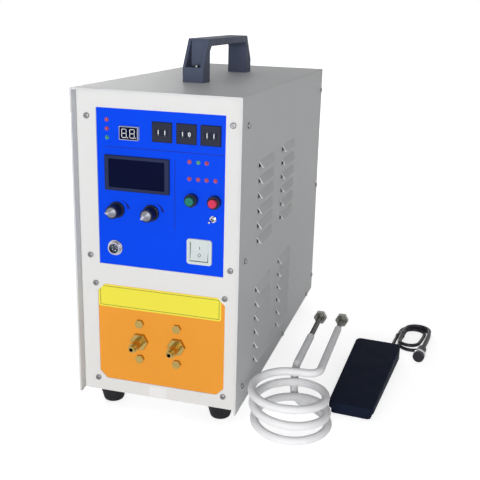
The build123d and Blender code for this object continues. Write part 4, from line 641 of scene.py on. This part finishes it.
# Bright pins in the round socket, and the bright band on the cord's plug. The sections are
# given as radii and heights
SOCKET_CENTRE = (-59.8, 205.5)
PIN_RING = 3.5
PIN_COUNT = 5
PIN_SIDES = 16
PIN_SECTION = ((0.05, 0.2), (0.85, 0.2), (0.85, 4.2), (0.6, 4.6), (0.05, 4.75))
PLUG_BAND = ((8.7, 21.5), (9.15, 21.8), (9.15, 27.2), (8.7, 27.5))
BAND_SIDES = 32


def make_socket_pins():
    """The contact pins of the socket for the pedal's plug."""
    work = bmesh.new()
    for number in range(PIN_COUNT):
        angle = 2 * pi * number / PIN_COUNT
        x = SOCKET_CENTRE[0] + PIN_RING * cos(angle)
        z = SOCKET_CENTRE[1] + PIN_RING * sin(angle)
        lathe(work, place(x, PLATE_LEVEL, z), Vector((0, -1, 0)), PIN_SECTION, PIN_SIDES)
    finished("socket_pins", work, "bright_metal")


def make_plug_band():
    """The metal band round the plug's grip."""
    x, end, layer = PLUG_START
    start = on_bundle(x, end, layer)
    way = (on_bundle(x, end - 1, layer) - start).normalized()
    work = bmesh.new()
    lathe(work, start, way, PLUG_BAND, BAND_SIDES)
    ground = place(0, 0, FLOOR).z
    for vertex in work.verts:
        vertex.co.z = max(vertex.co.z, ground)
    finished("plug_band", work, "bright_metal")


# Tie round the strands of the cord's bundle
TIE_STRANDS = ((OUTER_LEFT, 0), (INNER_LEFT, 0), (INNER_LEFT, 1))
TIE_PLACE = 4
TIE_WIDTH = 4.5
TIE_SHEET = 0.7
TIE_FLOOR_GAP = 0.07
TIE_STEPS = 40


def make_tie():
    """A band drawn tight round the strands on one side of the bundle."""
    centres = [(x, layer * BUNDLE_LAYER) for x, layer in TIE_STRANDS]
    work = bmesh.new()
    rings = []
    for step in range(TIE_STEPS):
        angle = 2 * pi * step / TIE_STEPS
        way = (cos(angle), sin(angle))
        x, z = max(centres, key=lambda centre: centre[0] * way[0] + centre[1] * way[1])
        ring = []
        for reach, y in ((0, -1), (TIE_SHEET, -1), (TIE_SHEET, 1), (0, 1)):
            size = CORD_DIAMETER / 2 + reach
            lowest = TIE_FLOOR_GAP - CORD_DIAMETER / 2 + (TIE_SHEET - reach) / 2
            height = max(z + size * way[1], lowest)
            spot = (x + size * way[0], TIE_PLACE + y * TIE_WIDTH / 2, height / BUNDLE_LAYER)
            ring.append(work.verts.new(on_bundle(*spot)))
        rings.append(ring)
    linked(work, rings)
    finished("cord_tie", work, "cord_black")


# A bare yellow strip across the top of the insulating board, and a blank white tag
STRIP_CENTRE = (-1.1, 137.5)
STRIP_SIZE = (169.2, 31)
STRIP_CORNER = 3
BORDER_INSET = 2.5
BORDER_WIDTH = 0.7
TAG_CENTRE = (-2.6, 8)
TAG_SIZE = (24, 15)
TAG_CORNER = 0.5


def make_labels():
    """The yellow strip with its dark border line, and the tag below the board."""
    strip = rounded(STRIP_CENTRE, STRIP_SIZE, STRIP_CORNER)
    plates("yellow_strip", [strip], PLATE_LEVEL, SKIN, "yellow_film")
    inside = [side - 2 * BORDER_INSET for side in STRIP_SIZE]
    border = frame_strips(STRIP_CENTRE, inside, BORDER_WIDTH)
    plates("strip_border", border, PLATE_LEVEL - SKIN, SKIN / 4, "olive_ink")
    tag = rounded(TAG_CENTRE, TAG_SIZE, TAG_CORNER, 2)
    plates("blank_tag", [tag], PANEL_LEVEL, SKIN / 2, "white_film")


# Lines printed on the blue plate, by their middles and sizes, and the marks beside the knobs
DIVIDERS = (((6.5, 336), (155, 0.7)), ((21, 281), (0.7, 88)))
DIVIDER_CORNER = 0.2
KNOBS = ((-56.9, 256), (-10.3, 256))
MARK_START = 8
MARK_END = 62
MARK_INSIDE = 14.2
MARK_WIDTH = 3.2
MARK_STEPS = 24


def knob_mark(centre):
    """The outline of part of a ring that widens from almost nothing, in x and z."""
    shares = [step / MARK_STEPS for step in range(MARK_STEPS + 1)]
    rim = [(share, MARK_INSIDE + MARK_WIDTH * share + SKIN) for share in shares]
    rim += [(share, MARK_INSIDE) for share in reversed(shares)]
    points = []
    for share, reach in rim:
        angle = radians(MARK_END + (MARK_START - MARK_END) * share)
        points.append((centre[0] + reach * cos(angle), centre[1] + reach * sin(angle)))
    return points


def make_printed_lines():
    """The dark dividing lines and the scale arcs beside the knobs."""
    lines = [rounded(centre, size, DIVIDER_CORNER, 2) for centre, size in DIVIDERS]
    lines += [knob_mark(knob) for knob in KNOBS]
    plates("printed_lines", lines, PLATE_LEVEL, SKIN / 4, "navy_ink")


# Two-figure display
DISPLAY_CENTRE = (-37.5, 355)
DISPLAY_SIZE = (24.4, 16.4)
DISPLAY_OUT = 6
FIGURE_HEIGHT = 10.4
FIGURE_WIDTH = 6
FIGURE_STROKE = 0.75
FIGURE_SPACING = 10.6
FIGURE_SHIFT = -0.2
FIGURE_GAP = 0.25
FACE_MARGIN = 0.5
FACE_CORNER = 0.3
POINT_SHIFT = 1.7
POINT_RADIUS = 0.7
POINT_HOLE = 0.01
POINT_TURN = radians(350)
POINT_STEPS = 12


def point_mark(centre):
    """The outline of a figure's point, in x and z: a ring with a pinhole and a narrow slit."""
    angles = [POINT_TURN * step / POINT_STEPS for step in range(POINT_STEPS + 1)]
    rim = [(POINT_RADIUS, a) for a in angles] + [(POINT_HOLE, a) for a in reversed(angles)]
    return [(centre[0] + reach * cos(a), centre[1] + reach * sin(a)) for reach, a in rim]


def bar(start, end):
    """A pointed bar from one point to another, as a seven-part figure has."""
    x0, z0 = start
    x1, z1 = end
    half = FIGURE_STROKE / 2
    if z0 == z1:
        return [
            (x0, z0),
            (x0 + half, z0 + half),
            (x1 - half, z0 + half),
            (x1, z0),
            (x1 - half, z0 - half),
            (x0 + half, z0 - half),
        ]
    return [
        (x0, z0),
        (x0 - half, z0 + half),
        (x0 - half, z1 - half),
        (x0, z1),
        (x0 + half, z1 - half),
        (x0 + half, z0 + half),
    ]


def make_display():
    """A dark face with two figures of seven bars each, every bar lit."""
    level = PLATE_LEVEL - DISPLAY_OUT
    size = [side - 2 * FACE_MARGIN for side in DISPLAY_SIZE]
    face = rounded(DISPLAY_CENTRE, size, FACE_CORNER, 2)
    plates("display_face", [face], level, SKIN / 2, "meter_glass")
    bars = []
    low, middle, high = (DISPLAY_CENTRE[1] + k * FIGURE_HEIGHT / 2 for k in (-1, 0, 1))
    for side in (-1, 1):
        x = DISPLAY_CENTRE[0] + FIGURE_SHIFT + side * FIGURE_SPACING / 2
        left, right = x - FIGURE_WIDTH / 2, x + FIGURE_WIDTH / 2
        for z in (low, middle, high):
            bars.append(bar((left + FIGURE_GAP, z), (right - FIGURE_GAP, z)))
        for edge in (left, right):
            bars.append(bar((edge, low + FIGURE_GAP), (edge, middle - FIGURE_GAP)))
            bars.append(bar((edge, middle + FIGURE_GAP), (edge, high - FIGURE_GAP)))
        bars.append(point_mark((right + POINT_SHIFT, low)))
    plates("display_figures", bars, level - SKIN / 2, SKIN / 4, "figure_white")


# Figures round the rims of the switch wheels
FACING = Matrix.Rotation(pi / 2, 4, "X")
WHEEL_RADIUS = 10
WHEEL_FIGURES = 10
WHEEL_FIGURE_HEIGHT = 4.8
WHEEL_SHOWS = (1, 1, 1, 0, 1, 1)
FIGURE_WEIGHT = 0.04
CAPITAL_SHARE = 0.69
FIGURE_CUTS = 12


def figure_mesh(text, height, depth):
    """A figure as a mesh, centred, facing +Z and cut across so that it can be bent."""
    curve = bpy.data.curves.new("figure", "FONT")
    curve.body = text
    curve.size = height * MM / CAPITAL_SHARE
    curve.extrude = depth * MM / 2
    curve.offset = height * MM * FIGURE_WEIGHT
    curve.align_x = "CENTER"
    curve.align_y = "CENTER"
    holder = bpy.data.objects.new("figure", curve)
    scene.collection.objects.link(holder)
    bpy.context.view_layer.update()
    mesh = bpy.data.meshes.new_from_object(holder)
    bpy.data.objects.remove(holder)
    low = [min(v.co[i] for v in mesh.vertices) for i in range(3)]
    high = [max(v.co[i] for v in mesh.vertices) for i in range(3)]
    mesh.transform(Matrix.Translation([-(a + b) / 2 for a, b in zip(low, high)]))
    work = bmesh.new()
    work.from_mesh(mesh)
    for step in range(1, FIGURE_CUTS):
        level = (step / FIGURE_CUTS - 1 / 2) * height * MM
        parts = [*work.verts, *work.edges, *work.faces]
        bmesh.ops.bisect_plane(work, geom=parts, plane_co=(0, level, 0), plane_no=(0, 1, 0))
    work.to_mesh(mesh)
    work.free()
    return mesh


def joined(name, meshes):
    """One mesh from several that are already in place."""
    work = bmesh.new()
    for mesh in meshes:
        work.from_mesh(mesh)
        bpy.data.meshes.remove(mesh)
    whole = bpy.data.meshes.new(name)
    work.to_mesh(whole)
    work.free()
    return whole


def make_wheel_figures():
    """Ten figures round each switch wheel; the one that shows faces the viewer."""
    for number, shown in enumerate(WHEEL_SHOWS, start=1):
        body = f"digit_wheel_{number}"
        low, high = (Vector(corner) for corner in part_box(body))
        middle = (low + high) / 2
        figures = []
        for figure in range(WHEEL_FIGURES):
            mesh = figure_mesh(str(figure), WHEEL_FIGURE_HEIGHT, SKIN)
            mesh.transform(FACING)
            for vertex in mesh.vertices:
                reach = WHEEL_RADIUS * MM - vertex.co.y
                angle = vertex.co.z / (WHEEL_RADIUS * MM)
                vertex.co.y, vertex.co.z = -reach * cos(angle), reach * sin(angle)
            turn = Matrix.Rotation(2 * pi * (figure - shown) / WHEEL_FIGURES, 4, "X")
            mesh.transform(Matrix.Translation(middle) @ turn)
            figures.append(mesh)
        whole = joined("wheel_figures", figures)
        add_piece(f"wheel_figures_{number}", whole, "figure_white", body)


# The marks on the mains switch
ROCKER_CENTRE = (53.9, 211.8)
ROCKER_PIN = 3
ROCKER_SWING = radians(-7)
ROCKER_SLOPE = radians(10.6)
ROCKER_MARK = 4.6
ROCKER_BAR = (0.9, 4.2)
ROCKER_RING = (4.0, 4.6)
ROCKER_STROKE = 0.7
MARK_SIDES = 32


def bar_mark(width, height, depth):
    """A flat bar that faces +Z, centred on the origin."""
    work = bmesh.new()
    bmesh.ops.create_cube(work, size=MM, matrix=Matrix.Diagonal((width, height, depth, 1)))
    return closed("bar_mark", work)


def ring_mark(width, height, depth):
    """A flat oval ring that faces +Z, centred on the origin."""
    work = bmesh.new()
    rings = []
    for inset, level in ((0, 1), (ROCKER_STROKE, 1), (ROCKER_STROKE, -1), (0, -1)):
        ring = []
        for step in range(MARK_SIDES):
            angle = 2 * pi * step / MARK_SIDES
            x, y = (width / 2 - inset) * cos(angle), (height / 2 - inset) * sin(angle)
            ring.append(work.verts.new(Vector((x, y, level * depth / 2)) * MM))
        rings.append(ring)
    linked(work, rings)
    return closed("ring_mark", work)


def make_rocker_marks():
    """The on and off marks on the mains switch."""
    x, z = ROCKER_CENTRE
    pivot = Matrix.Translation(place(x, PLATE_LEVEL + ROCKER_PIN, z))
    tilt = Matrix.Rotation(ROCKER_SWING, 4, "X")
    rise = ROCKER_PIN + ROCKER_MARK * sin(ROCKER_SLOPE)
    marks = []
    for shape, size, side in ((bar_mark, ROCKER_BAR, 1), (ring_mark, ROCKER_RING, -1)):
        mesh = shape(*size, SKIN / 2)
        slope = Matrix.Rotation(side * ROCKER_SLOPE, 4, "X")
        seat = Matrix.Translation((0, -rise * MM, side * ROCKER_MARK * MM))
        mesh.transform(pivot @ tilt @ seat @ slope @ FACING)
        marks.append(mesh)
    whole = joined("rocker_marks", marks)
    add_piece("rocker_marks", whole, "black_plastic", "rocker_paddle")


# Floor and light, in metres; each lamp by its name, place, width and power in watts
FLOOR_REACH = 60
FLOOR_WHITE = (0.9, 0.9, 0.9)
FLOOR_ROUGHNESS = 0.9
FLOOR_GLOW = 0.70
FLOOR_GLOW_FAR = 1.0
GLOW_RANGE = (0.55, 1.8)
WORLD_LIGHT = 0.24
LAMPS = (
    ("front_lamp", (0.4, -3.0, 0.38), 1.6, 75),
    ("rear_lamp", (-1.7, 2.3, 0.3), 1.6, 44),
)
AIM_HEIGHT = 0.2


def background_rays(tree):
    """One for the rays that see the background: from the camera, by mirror or through glass."""
    path = tree.nodes.new("ShaderNodeLightPath")
    seen = calculate(tree, "MAXIMUM", path.outputs["Is Camera Ray"], path.outputs["Is Glossy Ray"])
    return calculate(tree, "MAXIMUM", seen, path.outputs["Is Transmission Ray"])


def make_floor():
    """A plain white floor that keeps the object's shadow and fades into the background."""
    mesh = bpy.data.meshes.new("floor")
    corners = ((-1, -1), (1, -1), (1, 1), (-1, 1))
    spots = [(x * FLOOR_REACH, y * FLOOR_REACH, 0) for x, y in corners]
    mesh.from_pydata(spots, [], [(0, 1, 2, 3)])
    floor = bpy.data.objects.new("floor", mesh)
    scene.collection.objects.link(floor)
    made, tree, bsdf = shader("floor_white", FLOOR_WHITE, roughness=FLOOR_ROUGHNESS)
    bsdf.inputs["Specular IOR Level"].default_value = 0
    coordinates = tree.nodes.new("ShaderNodeTexCoord")
    distance = tree.nodes.new("ShaderNodeVectorMath")
    distance.operation = "LENGTH"
    tree.links.new(coordinates.outputs["Object"], distance.inputs[0])
    fade = tree.nodes.new("ShaderNodeMapRange")
    fade.interpolation_type = "SMOOTHSTEP"
    fade.inputs["From Min"].default_value, fade.inputs["From Max"].default_value = GLOW_RANGE
    fade.inputs["To Min"].default_value = FLOOR_GLOW
    fade.inputs["To Max"].default_value = FLOOR_GLOW_FAR
    tree.links.new(distance.outputs["Value"], fade.inputs["Value"])
    glow = calculate(tree, "MULTIPLY", fade.outputs["Result"], background_rays(tree))
    bsdf.inputs["Emission Color"].default_value = (1, 1, 1, 1)
    tree.links.new(glow, bsdf.inputs["Emission Strength"])
    mesh.materials.append(made)


def make_room():
    """Even light from all round; what is seen of the room is white."""
    world = bpy.data.worlds.new("room")
    scene.world = world
    world.use_nodes = True
    tree = world.node_tree
    ground = tree.nodes["Background"]
    ground.inputs["Color"].default_value = (1, 1, 1, 1)
    strength = tree.nodes.new("ShaderNodeMapRange")
    strength.inputs["To Min"].default_value = WORLD_LIGHT
    strength.inputs["To Max"].default_value = 1
    tree.links.new(background_rays(tree), strength.inputs["Value"])
    tree.links.new(strength.outputs["Result"], ground.inputs["Strength"])


def make_lamps():
    """A large soft lamp in front of the object and a weaker one behind it."""
    for name, where, size, power in LAMPS:
        data = bpy.data.lights.new(name, "AREA")
        data.shape = "DISK"
        data.size = size
        data.energy = power
        lamp = bpy.data.objects.new(name, data)
        lamp.location = where
        aim = Vector((0, 0, AIM_HEIGHT)) - Vector(where)
        lamp.rotation_euler = aim.to_track_quat("-Z", "Y").to_euler()
        scene.collection.objects.link(lamp)


make_camera()
make_floor()
make_room()
make_lamps()
paint_nodes()
make_sleeve()
make_plug_band()
make_tie()
make_cord()
make_socket_pins()
make_labels()
make_printed_lines()
make_display()
make_wheel_figures()
make_rocker_marks()
scene.view_settings.view_transform = "Standard"
